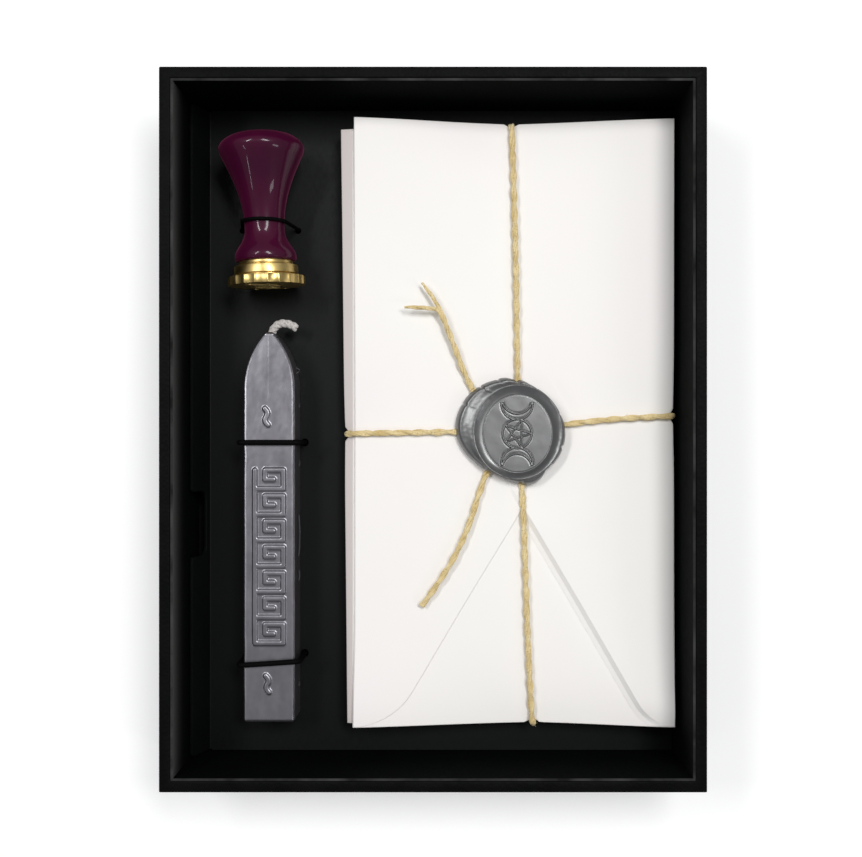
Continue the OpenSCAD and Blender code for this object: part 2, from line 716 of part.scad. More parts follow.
// Radius of the seal's edge at angle a, smoothed between the stated radii
function edge_radius(a) =
    let (n = len(seal_radii), s = a / 360 * n, i = floor(s), t = s - i,
        p = [for (k = [-1:2]) seal_radii[(i + k + n) % n]])
    p[1] + 0.5 * t * (p[2] - p[0] + t * (2 * p[0] - 5 * p[1] + 4 * p[2] - p[3]
        + t * (3 * (p[1] - p[2]) + p[3] - p[0])));

module seal_blob() {
    sides = 48;
    rings = len(seal_steps);
    points = [for (step = seal_steps, j = [0:sides - 1])
        let (a = 360 * j / sides, d = [cos(a), sin(a)],
            p = (1 - step[0]) * (seal_c + edge_radius(a) * d) + step[0] * (press_c + crest_r * d))
        [p[0], p[1], seal_z + step[1] * seal_h]];
    sides_f = [for (i = [0:rings - 2], j = [0:sides - 1])
        let (a = i * sides + j, b = i * sides + (j + 1) % sides)
        each [[a, a + sides, b + sides], [a, b + sides, b]]];
    bottom = [for (j = [0:sides - 1]) j];
    top = [for (j = [sides - 1:-1:0]) (rings - 1) * sides + j];
    polyhedron(points, concat([bottom], sides_f, [top]));
}

module wax_seal() {
    floor_h = seal_h - press_d;
    color([0.55, 0.55, 0.57]) {
        difference() {
            seal_blob();
            translate([press_c[0], press_c[1], seal_z + floor_h]) cylinder(r = press_r, h = seal_h);
            knot_blob(twine_gap);
            for (p = [run_far[0], run_near[0], run_left[0], run_right[0], tail_upper[0], tail_lower[0]])
                knot_end(1.3 * p, twine_r + twine_gap);
        }
        translate([press_c[0], press_c[1], seal_z + floor_h - 0.1]) linear_extrude(emblem_h + 0.1) emblem();
    }
}

tray_board();
corner_stays();
tray_wrap();
floor_paper();
wall_liner();
insert_card();
pull_flap();
stamp_tie();
wax_tie_upper();
wax_tie_lower();
stamp_handle();
head_stud();
collar_ring();
seal_head();
wax_bar();
wick();
envelope_1();
envelope_2();
envelope_3();
envelope_4();
envelope_5();
twine_loop_long();
twine_loop_short();
twine_knot();
twine_tail_upper();
twine_tail_lower();
wax_seal();
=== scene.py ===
import math
import random
import bpy
import bmesh
from mathutils import Matrix, Vector, noise


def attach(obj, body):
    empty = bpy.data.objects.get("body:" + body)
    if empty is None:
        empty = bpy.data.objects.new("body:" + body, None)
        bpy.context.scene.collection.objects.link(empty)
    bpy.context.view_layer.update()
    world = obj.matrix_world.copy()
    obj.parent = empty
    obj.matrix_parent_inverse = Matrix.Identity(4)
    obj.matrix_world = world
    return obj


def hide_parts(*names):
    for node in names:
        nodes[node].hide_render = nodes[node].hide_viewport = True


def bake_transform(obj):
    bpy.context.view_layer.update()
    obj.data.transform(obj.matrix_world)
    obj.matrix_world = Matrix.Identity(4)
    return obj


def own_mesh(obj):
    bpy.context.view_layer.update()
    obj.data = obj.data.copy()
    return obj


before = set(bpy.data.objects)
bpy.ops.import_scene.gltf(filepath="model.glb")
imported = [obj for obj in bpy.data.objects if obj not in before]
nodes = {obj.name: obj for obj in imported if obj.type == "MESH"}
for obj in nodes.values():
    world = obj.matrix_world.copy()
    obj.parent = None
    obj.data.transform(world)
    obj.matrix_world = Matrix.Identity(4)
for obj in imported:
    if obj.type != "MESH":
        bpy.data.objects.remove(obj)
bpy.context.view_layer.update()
mm = 0.001            # pieces are modelled in millimetres and scaled once, when they are finished
scene = bpy.context.scene
rng = random.Random(7)

view = dict(place=(2.93, -2.56, 324), lens=49.6, shiftX=-0.01624, shiftY=0.01334)
lensData = bpy.data.cameras.new("photoCamera")
lensData.lens = view["lens"]
lensData.shift_x = view["shiftX"]
lensData.shift_y = view["shiftY"]
lensData.clip_start, lensData.clip_end = 0.01, 10
camera = bpy.data.objects.new("photoCamera", lensData)
camera.location = Vector(view["place"]) * mm
scene.collection.objects.link(camera)
scene.camera = camera
scene.view_settings.view_transform = "Standard"
print("camera set")


# materials: a shader with its plain values, then the patterns that need nodes

def newLook(name, colour, roughness, **values):
    look = bpy.data.materials.new(name)
    look.use_nodes = True
    shader = look.node_tree.nodes["Principled BSDF"]
    shader.inputs["Base Color"].default_value = (*colour, 1)
    shader.inputs["Roughness"].default_value = roughness
    for socket, value in values.items():
        shader.inputs[socket.replace("_", " ")].default_value = value
    return look


def texture(look, kind, scale, stretch=(1, 1, 1), **values):
    tree = look.node_tree
    place = tree.nodes.new("ShaderNodeTexCoord")
    turn = tree.nodes.new("ShaderNodeMapping")
    turn.inputs["Scale"].default_value = stretch
    made = tree.nodes.new("ShaderNodeTex" + kind)
    made.inputs["Scale"].default_value = scale
    for socket, value in values.items():
        made.inputs[socket.replace("_", " ")].default_value = value
    tree.links.new(place.outputs["Object"], turn.inputs["Vector"])
    tree.links.new(turn.outputs["Vector"], made.inputs["Vector"])
    return made.outputs["Distance" if kind == "Voronoi" else "Fac"]


def stepped(look, source, low, high, outLow=0, outHigh=1):
    remap = look.node_tree.nodes.new("ShaderNodeMapRange")
    for socket, value in zip(("From Min", "From Max", "To Min", "To Max"), (low, high, outLow, outHigh)):
        remap.inputs[socket].default_value = value
    look.node_tree.links.new(source, remap.inputs["Value"])
    return remap.outputs["Result"]


def axesOf(look, source):
    axes = look.node_tree.nodes.new("ShaderNodeSeparateXYZ")
    look.node_tree.links.new(source, axes.inputs["Vector"])
    return axes.outputs


def objectPlace(look):
    return axesOf(look, look.node_tree.nodes.new("ShaderNodeTexCoord").outputs["Object"])


def maths(look, operation, *terms):
    made = look.node_tree.nodes.new("ShaderNodeMath")
    made.operation = operation
    for socket, term in zip(made.inputs, terms):
        if isinstance(term, float):
            socket.default_value = term
        else:
            look.node_tree.links.new(term, socket)
    return made.outputs[0]


def mixed(look, factor, first, second):
    mix = look.node_tree.nodes.new("ShaderNodeMix")
    mix.data_type = "RGBA"
    look.node_tree.links.new(factor, mix.inputs["Factor"])
    for name, value in (("A", first), ("B", second)):
        socket = [s for s in mix.inputs if s.name == name and s.type == "RGBA"][0]
        if isinstance(value, tuple):
            socket.default_value = (*value, 1)
        else:
            look.node_tree.links.new(value, socket)
    return [s for s in mix.outputs if s.type == "RGBA"][0]


def toShader(look, socket, source):
    look.node_tree.links.new(source, look.node_tree.nodes["Principled BSDF"].inputs[socket])


def tone(look, source, low, high, dark, light):
    toShader(look, "Base Color", mixed(look, stepped(look, source, low, high), dark, light))


def gloss(look, source, low, high, least, most):
    toShader(look, "Roughness", stepped(look, source, low, high, least, most))


def addBump(look, source, depth, strength=1):
    tree = look.node_tree
    shader = tree.nodes["Principled BSDF"]
    bump = tree.nodes.new("ShaderNodeBump")
    bump.inputs["Strength"].default_value = strength
    bump.inputs["Distance"].default_value = depth * mm
    tree.links.new(source, bump.inputs["Height"])
    if shader.inputs["Normal"].is_linked:
        tree.links.new(shader.inputs["Normal"].links[0].from_socket, bump.inputs["Normal"])
    tree.links.new(bump.outputs["Normal"], shader.inputs["Normal"])


def makeGrainedPaper():
    look = newLook("grainedPaper", (0.003, 0.003, 0.003), 0.5, Specular_IOR_Level=0.05)
    cells = texture(look, "Voronoi", 1100)
    fine = texture(look, "Noise", 2600, Detail=3.0)
    blotch = texture(look, "Noise", 90, Detail=4.0)
    tone(look, blotch, 0.35, 0.7, (0.0014, 0.0017, 0.0015), (0.0032, 0.0035, 0.0032))
    gloss(look, fine, 0.2, 0.8, 0.42, 0.62)
    addBump(look, cells, 0.12, 0.55)
    addBump(look, fine, 0.03, 0.4)
    return look


def makeBlackCard(name, colour, sheen, dull=0.4):
    look = newLook(name, colour, 0.5, Specular_IOR_Level=sheen)
    fibre = texture(look, "Noise", 1500, stretch=(1, 0.35, 1), Detail=5.0)
    cloud = texture(look, "Noise", 28, Detail=3.0)
    tone(look, cloud, 0.3, 0.7, colour, tuple(c * 1.5 for c in colour))
    gloss(look, fibre, 0.25, 0.75, dull, dull + 0.18)
    addBump(look, fibre, 0.03, 0.35)
    return look


def makeLinerCard():
    look = makeBlackCard("linerCard", (0.0022, 0.0026, 0.0026), 0.02, 0.72)
    shader = look.node_tree.nodes["Principled BSDF"]
    card = shader.inputs["Base Color"].links[0].from_socket
    facing = axesOf(look, look.node_tree.nodes.new("ShaderNodeNewGeometry").outputs["True Normal"])
    # painted sheen: the side walls' card is painted greyer towards the rim, at the left most, for the light that falls
    # there
    rise = maths(look, "POWER", stepped(look, objectPlace(look)["Z"], 0.016, 0.0345), 3.2)
    side = stepped(look, maths(look, "ABSOLUTE", facing["X"]), 0.6, 0.9)
    sheenGrey = mixed(look, stepped(look, facing["X"], -0.5, 0.5), (0.012, 0.012, 0.012), (0.105, 0.103, 0.1))
    paintedSheen = mixed(look, maths(look, "MULTIPLY", rise, side), card, sheenGrey)
    # its cut top edge shows the core
    scuff = stepped(look, texture(look, "Noise", 160, Detail=4.0), 0.3, 0.7)
    core = mixed(look, scuff, (0.012, 0.012, 0.012), (0.05, 0.05, 0.05))
    # painted sheen on the side walls, and the core colour on the cut top edge
    toShader(look, "Base Color", mixed(look, stepped(look, facing["Z"], 0.7, 0.9), paintedSheen, core))
    return look


def makePlumLacquer():
    look = newLook("plumLacquer", (0.038, 0.0022, 0.019), 0.35, Specular_IOR_Level=0.1,
                   Coat_Weight=0.34, Coat_Roughness=0.03, Coat_Tint=(1, 0.86, 0.88, 1), Sheen_Weight=0.22,
                   Sheen_Roughness=0.35, Sheen_Tint=(0.9, 0.16, 0.38, 1))
    depth = texture(look, "Noise", 70, Detail=3.0)
    ripple = texture(look, "Noise", 260, Detail=2.0)
    tone(look, depth, 0.3, 0.7, (0.037, 0.0020, 0.018), (0.056, 0.0034, 0.0225))
    addBump(look, ripple, 0.03, 0.12)
    return look


def makeBrass():
    look = newLook("polishedBrass", (0.62, 0.45, 0.15), 0.28, Metallic=1.0)
    smear = texture(look, "Noise", 320, Detail=4.0)
    fine = texture(look, "Noise", 2400, stretch=(1, 0.15, 1), Detail=2.0)
    tone(look, smear, 0.3, 0.7, (0.60, 0.43, 0.15), (0.72, 0.54, 0.22))
    gloss(look, smear, 0.3, 0.75, 0.29, 0.43)
    addBump(look, fine, 0.004, 0.5)
    return look


def makeSteel():
    look = newLook("plainSteel", (0.5, 0.5, 0.52), 0.3, Metallic=1.0)
    gloss(look, texture(look, "Noise", 500, Detail=3.0), 0.3, 0.7, 0.22, 0.4)
    return look


def makeWax(name, dark, light, metal, dull, ripple, grain):
    look = newLook(name, light, dull, Metallic=metal, Specular_IOR_Level=0.5)
    cloud = texture(look, "Noise", 150, Detail=5.0, Roughness=0.6)
    pearl = texture(look, "Noise", grain, Detail=2.0)
    flow = texture(look, "Noise", 420, stretch=(1, 0.4, 1), Detail=3.0)
    tone(look, cloud, 0.3, 0.72, dark, light)
    gloss(look, flow, 0.3, 0.7, dull - 0.03, dull + 0.04)
    addBump(look, flow, 0.08, ripple)
    addBump(look, pearl, 0.02, 0.35)
    return look


def makeCotton():
    look = newLook("wickCotton", (0.6, 0.57, 0.55), 0.9, Sheen_Weight=0.3, Specular_IOR_Level=0.2)
    strand = texture(look, "Noise", 2600, Detail=3.0)
    tone(look, strand, 0.3, 0.7, (0.42, 0.39, 0.36), (0.64, 0.61, 0.59))
    addBump(look, strand, 0.08, 0.6)
    return look


def makePaper():
    look = newLook("whitePaper", (0.87, 0.855, 0.85), 0.62, Specular_IOR_Level=0.3)
    cloud = stepped(look, texture(look, "Noise", 26, Detail=3.0), 0.3, 0.7)
    fibre = texture(look, "Noise", 1300, Detail=4.0)
    sheet = mixed(look, cloud, (0.895, 0.855, 0.84), (0.90, 0.885, 0.85))
    # painted shade: what shows of the covered envelopes at the left is painted darker, for the shade under the top
    # envelope's edge
    tone(look, objectPlace(look)["X"], -0.0212, -0.0208, (0.60, 0.55, 0.53), sheet)
    addBump(look, fibre, 0.025, 0.3)
    return look


def makeTwineLook():
    look = newLook("strawTwine", (0.58, 0.42, 0.17), 0.75, Specular_IOR_Level=0.3, Sheen_Weight=0.15)
    fibre = texture(look, "Noise", 2300, Detail=3.0)
    patch = stepped(look, texture(look, "Noise", 330, Detail=2.0), 0.3, 0.7)
    straw = mixed(look, patch, (0.62, 0.47, 0.21), (0.80, 0.66, 0.37))
    tone(look, fibre, 0.3, 0.44, (0.46, 0.325, 0.125), straw)
    addBump(look, fibre, 0.04, 0.4)
    return look


def makeElastic():
    look = newLook("blackElastic", (0.002, 0.002, 0.0022), 0.62, Specular_IOR_Level=0.05)
    braid = texture(look, "Voronoi", 3200)
    gloss(look, braid, 0, 0.6, 0.5, 0.75)
    addBump(look, braid, 0.08, 0.5)
    return look


def makeBoard(name, dark, light):
    look = newLook(name, light, 0.85, Specular_IOR_Level=0.2)
    fibre = texture(look, "Noise", 900, Detail=5.0)
    tone(look, fibre, 0.3, 0.7, dark, light)
    addBump(look, fibre, 0.06, 0.4)
    return look


looks = dict(
    grained_paper=makeGrainedPaper(),
    lining_paper=makeBlackCard("liningPaper", (0.0022, 0.0026, 0.0026), 0.06),
    liner_card=makeLinerCard(),
    black_card=makeBlackCard("blackCard", (0.0024, 0.0029, 0.0028), 0.13),
    elastic=makeElastic(),
    plum_lacquer=makePlumLacquer(),
    brass=makeBrass(),
    steel=makeSteel(),
    stick_wax=makeWax("stickWax", (0.250, 0.243, 0.266), (0.275, 0.267, 0.292), 0.9, 0.32, 0.16, 2600),
    seal_wax=makeWax("sealWax", (0.160, 0.161, 0.162), (0.195, 0.195, 0.196), 0.75, 0.35, 0.18, 3600),
    cotton=makeCotton(),
    white_paper=makePaper(),
    twine=makeTwineLook(),
    grey_board=makeBoard("greyBoard", (0.20, 0.19, 0.18), (0.33, 0.32, 0.30)),
    stay_paper=makeBoard("stayPaper", (0.36, 0.27, 0.17), (0.46, 0.36, 0.23)),
)
print("materials made")


# shared making steps

def finishPiece(bm, name, slotName, body, replaced=(), sharp=35, ride=True):
    bmesh.ops.scale(bm, vec=(mm, mm, mm), verts=bm.verts)
    mesh = bpy.data.meshes.new(name)
    bm.to_mesh(mesh)
    bm.free()
    mesh.shade_smooth()
    mesh.set_sharp_from_angle(angle=math.radians(sharp))
    mesh.materials.append(looks[slotName])
    piece = bpy.data.objects.new(name, mesh)
    scene.collection.objects.link(piece)
    if replaced:
        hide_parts(*replaced)
    if ride:
        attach(piece, body)
    return piece


def folds(edges, angle):
    # edges where two faces meet at more than an angle
    return [e for e in edges if len(e.link_faces) == 2 and e.calc_face_angle() > angle]


def rounded(bm, geom, offset, segments, affect="EDGES"):
    bmesh.ops.bevel(bm, geom=geom, offset=offset, segments=segments, profile=0.5, affect=affect, material=-1)


def thickened(bm, way):
    # flat faces drawn out to a solid
    out = bmesh.ops.extrude_face_region(bm, geom=bm.faces[:])["geom"]
    bmesh.ops.translate(bm, vec=way, verts=[g for g in out if isinstance(g, bmesh.types.BMVert)])
    bmesh.ops.recalc_face_normals(bm, faces=bm.faces)


def cut(bm, place, way, away=True):
    bmesh.ops.bisect_plane(bm, geom=bm.verts[:] + bm.edges[:] + bm.faces[:], plane_co=place, plane_no=way,
                           clear_outer=away)


def joinPieces(bm, other):
    mesh = bpy.data.meshes.new("part")
    other.to_mesh(mesh)
    other.free()
    bm.from_mesh(mesh)
    bpy.data.meshes.remove(mesh)


def blendTo(t):
    t = min(max(t, 0), 1)
    return t * t * (3 - 2 * t)


def slope(distance, width):
    return max(0.0, 1 - abs(distance) / width)


def hill(distance, width):
    return math.exp(-(distance / width) ** 2)


def bezier(points, steps):
    a, b, c, d = (Vector(p) for p in points)
    for i in range(steps + 1):
        t = i / steps
        u = 1 - t
        yield tuple(u * u * u * a + 3 * u * u * t * b + 3 * u * t * t * c + t * t * t * d)


def smoothRoute(points, step):
    # an even run of points along the curve through the given ones
    pts = [Vector(p) for p in points]
    pts = [2 * pts[0] - pts[1]] + pts + [2 * pts[-1] - pts[-2]]
    fine = []
    for a, b, c, d in zip(pts, pts[1:], pts[2:], pts[3:]):
        for i in range(24):
            t = i / 24
            fine.append(0.5 * (2 * b + t * (c - a + t * (2 * a - 5 * b + 4 * c - d + t * (3 * (b - c) + d - a)))))
    fine.append(pts[-2])
    total = sum((q - p).length for p, q in zip(fine, fine[1:]))
    count = max(2, round(total / step))
    even, walked, target = [fine[0]], 0, total / count
    for p, q in zip(fine, fine[1:]):
        span = (q - p).length
        while span and walked + span >= target - 1e-9 and len(even) < count:
            even.append(p.lerp(q, (target - walked) / span))
            target += total / count
        walked += span
    even.append(fine[-1])
    return even


def sideways(route):
    # two directions across the route at each point, turning as little as they can
    tangents = [(route[min(i + 1, len(route) - 1)] - route[max(i - 1, 0)]).normalized() for i in range(len(route))]
    across = tangents[0].orthogonal().normalized()
    for tangent in tangents:
        across = (across - tangent * across.dot(tangent)).normalized()
        yield across, tangent.cross(across)


def strands(bm, routes, radius, rounds=1, taper=0):
    # round tubes along several routes, made as one bevelled curve
    curve = bpy.data.curves.new("strands", "CURVE")
    curve.dimensions = "3D"
    curve.bevel_depth = radius
    curve.bevel_resolution = rounds
    curve.use_fill_caps = True
    for route in routes:
        spline = curve.splines.new("POLY")
        spline.points.add(len(route) - 1)
        for i, (point, place) in enumerate(zip(spline.points, route)):
            point.co = (*place, 1)
            if taper:
                point.radius = 0.35 + 0.65 * blendTo((len(route) - 1 - i) / taper)
    holder = bpy.data.objects.new("strands", curve)
    mesh = bpy.data.meshes.new_from_object(holder)
    bm.from_mesh(mesh)
    bpy.data.objects.remove(holder)
    bpy.data.curves.remove(curve)
    bpy.data.meshes.remove(mesh)


def plied(route, plies, offset, pitch, phase=0.0):
    # the routes of strands that wind round a route
    frames = list(sideways(route))
    step = (route[1] - route[0]).length
    return [[p + offset * (math.cos(a) * u + math.sin(a) * v)
             for i, (p, (u, v)) in enumerate(zip(route, frames))
             for a in [phase + math.tau * (k / plies + i * step / pitch)]] for k in range(plies)]


def turned(outline, steps):
    # a shape turned round +Z from its half outline, given as radius and height
    bm = bmesh.new()
    verts = [bm.verts.new((r, 0, z)) for r, z in outline]
    edges = [bm.edges.new(pair) for pair in zip(verts, verts[1:])]
    bmesh.ops.spin(bm, geom=verts + edges, cent=(0, 0, 0), axis=(0, 0, 1), angle=math.tau, steps=steps,
                   use_merge=True)
    bmesh.ops.remove_doubles(bm, verts=bm.verts, dist=0.0005)
    bmesh.ops.recalc_face_normals(bm, faces=bm.faces)
    return bm


def moved(bm, matrix):
    bmesh.ops.transform(bm, matrix=matrix, verts=bm.verts)


# the bundle's free surface: how high each sheet lies, and the twine on it

bundle = dict(low=11.75, sheet=0.9, count=5, size=(83, 157), curlWidth=22, wave=0.1, calm=18, sag=0.9, sagFrom=-19.8,
              topFrom=-20.6,    # left of this the top envelope ends and the one below it shows
              # each envelope's middle and turn, the top one first
              places=((20.9, 2.3, 0), (18.2, 0.3, 0.6), (18.7, 0.1, 0.42), (18.1, 0.6, 0.66), (18.6, 0.4, 0.48)),
              # how far the corners curl up, and the dips under the twine with their widths
              corners=((-20.6, 80.8, 2.2), (62.4, 80.8, 0.6), (-20.6, -76.2, 1.5), (62.4, -76.2, 2.1)),
              pinches=((20.2, 80.8, 1.5, 24, 12), (25.7, -78.7, 1.2, 24, 10), (-24.3, -0.9, 0.8, 8, 12),
                       (62.4, 3.6, 0.7, 8, 14)))
sealCentre = (21.7, -0.6)


def sheetHeight(x, y, level):
    # height of the surface between two envelopes; level runs from 0, under the lowest, to 5, on top
    share = level / bundle["count"]
    dip = sum(d * hill(x - px, wx) * hill(y - py, wy) for px, py, d, wx, wy in bundle["pinches"])
    curl = sum(c * hill(math.hypot(x - cx, y - cy), bundle["curlWidth"]) for cx, cy, c in bundle["corners"])
    dip += bundle["sag"] * blendTo((bundle["sagFrom"] - x) / 4)
    wave = bundle["wave"] * noise.noise((x / 23, y / 31, 0.7))
    calm = 1 - hill(math.hypot(x - sealCentre[0], y - sealCentre[1]), bundle["calm"])
    return bundle["low"] + bundle["sheet"] * level - dip * share + (curl + wave * calm) * share * share


twine = dict(thick=1.8, ply=0.27, yarn=0.24, yarnPitch=11, strand=0.38, looseStrand=0.34, hair=0.045, pitch=9.6,
             knot=(21.9, -0.2), over=0.95, step=0.55,
             # the tails' routes from the knot, with their height over the paper, and the split of the upper one
             upper=((-12, 10.8, 0), (-13, 13, 0.1), (-14.2, 15.5, 0.4), (-15.5, 18.9, 0.8), (-16.8, 22.3, 1.2),
                    (-18.4, 26.4, 1.5), (-20.2, 30.7, 1.6), (-22.2, 34.4, 1.5), (-24.9, 38.1, 1.2)),
             lower=((-8.6, -11.6, 0), (-9.6, -14.6, 0.1), (-10.8, -18, 0.3), (-12, -22, 0.6), (-14.3, -27.8, 0.9),
                    (-17.2, -33.6, 1.0), (-20.1, -38.2, 0.9), (-22.6, -41.9, 0.7), (-25, -45.2, 0.4)),
             split=((-20.3, 30.9, 1.2), (-21.3, 31.2, 1.9), (-23.2, 31.4, 2.4), (-26, 31.6, 2.6), (-29.4, 31.7, 2.4)))


def twist(bm, route):
    # two plies of three yarns each
    plies = plied(route, 2, twine["ply"], twine["pitch"])
    yarns = [yarn for k, line in enumerate(plies)
             for yarn in plied(line, 3, twine["yarn"], twine["yarnPitch"], 0.5 * k)]
    strands(bm, yarns, twine["strand"])


def fuzz(bm, route, count):
    # short loose fibres that stand off the twine
    hairs = []
    frames = list(sideways(route))
    for _ in range(count):
        i = rng.randrange(2, len(route) - 3)
        u, v = frames[i]
        a = rng.uniform(0, math.tau)
        out = math.cos(a) * u + math.sin(a) * v
        if out.z < -0.2:
            out.z = -out.z
        along = (route[i + 1] - route[i - 1]).normalized() * rng.uniform(0.5, 1.8)
        start = route[i] + out * 0.75
        hairs.append([start, start + along * 0.5 + out * 0.22, start + along + out * rng.uniform(0.2, 0.5)])
    strands(bm, hairs, twine["hair"], 0)


def atKnot(points):
    kx, ky = twine["knot"]
    return [(kx + x, ky + y, sheetHeight(kx + x, ky + y, bundle["count"]) + twine["over"] + z) for x, y, z in points]


def plyAlone(line, phase=0.0, taper=6):
    # three yarns of one ply that has come free, thinner at its cut end
    bm = bmesh.new()
    strands(bm, plied(line, 3, twine["yarn"], twine["yarnPitch"], phase), twine["looseStrand"], taper=taper)
    return bm


def makeTail(which, name, split=None):
    route = smoothRoute(atKnot(twine[which]), twine["step"])
    length = sum((q - p).length for p, q in zip(route, route[1:]))
    bm = bmesh.new()
    others = []
    if split:
        # past the split one ply goes on along the route and the other bends away
        at = min(range(len(route)), key=lambda i: (route[i].xy - Vector(atKnot(split)[0][:2])).length)
        first, second = plied(route, 2, twine["ply"], twine["pitch"])
        first = first[:at] + [p + (first[at] - route[at]) * (1 - blendTo(i / 6)) for i, p in enumerate(route[at:])]
        aside = smoothRoute([second[at - 1]] + [Vector(p) for p in atKnot(split)[1:]], twine["step"])
        joinPieces(bm, plyAlone(first))
        others = [finishPiece(plyAlone(second[:at - 1] + aside, 0.5), name + "Ply", "twine", "bundle")]
    else:
        twist(bm, route)
    tail = finishPiece(bm, name, "twine", "bundle", ["twine_tail_" + which])
    print(name, "is", round(length, 1), "mm long")


makeTail("upper", "twineTailUpper", twine["split"])
makeTail("lower", "twineTailLower")


# the tray: papered board, with the liner card's cut edge inside the rim

tray = dict(width=134, length=177.4, height=34, rim=2.8, turnIn=14, paper=0.3, edge=0.35)


def makeTrayWrap():
    t = tray
    bm = bmesh.new()
    bmesh.ops.create_cube(bm, size=1, matrix=Matrix.Translation((0, 0, t["height"] / 2))
                          @ Matrix.Diagonal((t["width"], t["length"], t["height"], 1)))
    top = max(bm.faces, key=lambda f: f.calc_center_median().z)
    bmesh.ops.inset_region(bm, faces=[top], thickness=t["rim"], use_even_offset=True)
    top = min((f for f in bm.faces if f.calc_center_median().z > t["height"] - 0.1),
              key=lambda f: f.calc_center_median().xy.length)
    loop = list(top.edges)
    bmesh.ops.delete(bm, geom=[top], context="FACES_ONLY")
    down = bmesh.ops.extrude_edge_only(bm, edges=loop)["geom"]
    bmesh.ops.translate(bm, vec=(0, 0, -t["turnIn"]), verts=[g for g in down if isinstance(g, bmesh.types.BMVert)])
    bmesh.ops.recalc_face_normals(bm, faces=bm.faces)
    bottom = min(bm.faces, key=lambda f: f.calc_center_median().z)
    if bottom.normal.z > 0:
        bmesh.ops.reverse_faces(bm, faces=bm.faces)
    rounded(bm, folds(bm.edges, 0.5), t["edge"], 3)
    bmesh.ops.subdivide_edges(bm, edges=[e for e in bm.edges if e.calc_length() > 60], cuts=3, use_grid_fill=True)
    bmesh.ops.solidify(bm, geom=bm.faces[:], thickness=t["paper"])
    finishPiece(bm, "trayWrap", "grained_paper", "tray", ["tray_wrap"])


makeTrayWrap()
for node, slotName in (("tray_board", "grey_board"), ("corner_stays", "stay_paper"), ("floor_paper", "lining_paper"),
                       ("wall_liner", "liner_card"), ("head_stud", "steel")):
    nodes[node].data.materials.clear()
    nodes[node].data.materials.append(looks[slotName])
print("tray made")


# the insert: one card, folded up at the left as a pull flap

card = dict(thick=0.8, top=8.0, creaseX=-59.9, bend=0.7, ease=0.3, lean=19.1, edge=0.12, flap=9.2, flapLength=169.4,
            flapRound=0.8, notchMiddle=-24.5, notchWidth=17, notchDepth=7.3, notchRound=2.5)


def cardFold():
    # middle line of the fold, from the deck to the flap, with the way across it
    c = card
    turn = math.radians(90 - c["lean"])
    middle = Vector((c["creaseX"] + c["bend"] * math.tan(turn / 2), c["top"] - c["thick"] / 2 + c["bend"]))
    ways = [Vector((-math.sin(turn * i / 8), -math.cos(turn * i / 8))) for i in range(9)]
    line = [(middle + c["bend"] * way, way) for way in ways]
    # the bend runs on a little into the deck and into the flap
    (first, down), (last, out) = line[0], line[-1]
    line.insert(0, (first + Vector((c["ease"], 0)), down))
    line.append((last + Vector((out.y, -out.x)) * c["ease"], out))
    return line


def makeDeck(edge):
    bm = bmesh.new()
    bm.from_mesh(nodes["insert_card"].data)
    bmesh.ops.scale(bm, vec=(1000, 1000, 1000), verts=bm.verts)
    bmesh.ops.remove_doubles(bm, verts=bm.verts, dist=0.01)
    cut(bm, (edge, 0, 0), (-1, 0, 0))
    bmesh.ops.holes_fill(bm, edges=[e for e in bm.edges if len(e.link_faces) == 1])
    bmesh.ops.dissolve_limit(bm, angle_limit=0.02, verts=bm.verts, edges=bm.edges)
    rounded(bm, [e for e in folds(bm.edges, 1.2) if e.calc_length() > 20
                 and min(v.co.x for v in e.verts) > edge + 0.1], card["edge"], 2)
    finishPiece(bm, "insertCard", "black_card", "insert", ["insert_card"])


def makeCrease(fold):
    half = card["thick"] / 2
    bm = bmesh.new()
    outline = [(p + half * d) for p, d in fold] + [(p - half * d) for p, d in reversed(fold)]
    bm.faces.new([bm.verts.new((p.x, -card["flapLength"] / 2, p.y)) for p in outline])
    thickened(bm, (0, card["flapLength"], 0))
    crease = finishPiece(bm, "flapCrease", "black_card", "insert", ride=False)
    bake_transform(crease)


def makePullFlap():
    # drawn flat, along Y and up its own slope, then leaned back
    c = card
    half, end, top = c["thick"] / 2, c["flapLength"] / 2, c["flap"]
    start = c["bend"] * math.tan(math.radians(90 - c["lean"]) / 2) + c["ease"]
    low, high = c["notchMiddle"] - c["notchWidth"] / 2, c["notchMiddle"] + c["notchWidth"] / 2
    floor = top - c["notchDepth"]
    corners = ((-end, start), (end, start), (end, top), (high, top), (high, floor), (low, floor), (low, top),
               (-end, top))
    bm = bmesh.new()
    verts = [bm.verts.new((-half, y, s)) for y, s in corners]
    bm.faces.new(verts)
    rounded(bm, verts[4:6], c["notchRound"], 8, "VERTICES")
    rounded(bm, [v for v in bm.verts if v.co.z > top - 0.01], c["flapRound"], 4, "VERTICES")
    thickened(bm, (c["thick"], 0, 0))
    rounded(bm, [e for e in folds(bm.edges, 1.2) if min(v.co.z for v in e.verts) > start + 0.1
                 and abs(e.verts[0].co.x - e.verts[1].co.x) < 0.01], c["edge"], 2)
    moved(bm, Matrix.Translation((c["creaseX"], 0, c["top"] - half))
          @ Matrix.Rotation(math.radians(-c["lean"]), 4, "Y"))
    finishPiece(bm, "pullFlap", "black_card", "flap", ["pull_flap"])


fold = cardFold()
makeDeck(fold[0][0].x)
makeCrease(fold)
makePullFlap()
print("insert made")


# the stamp: handle, loose ring and head, built along +Z from the seal face and laid on the card

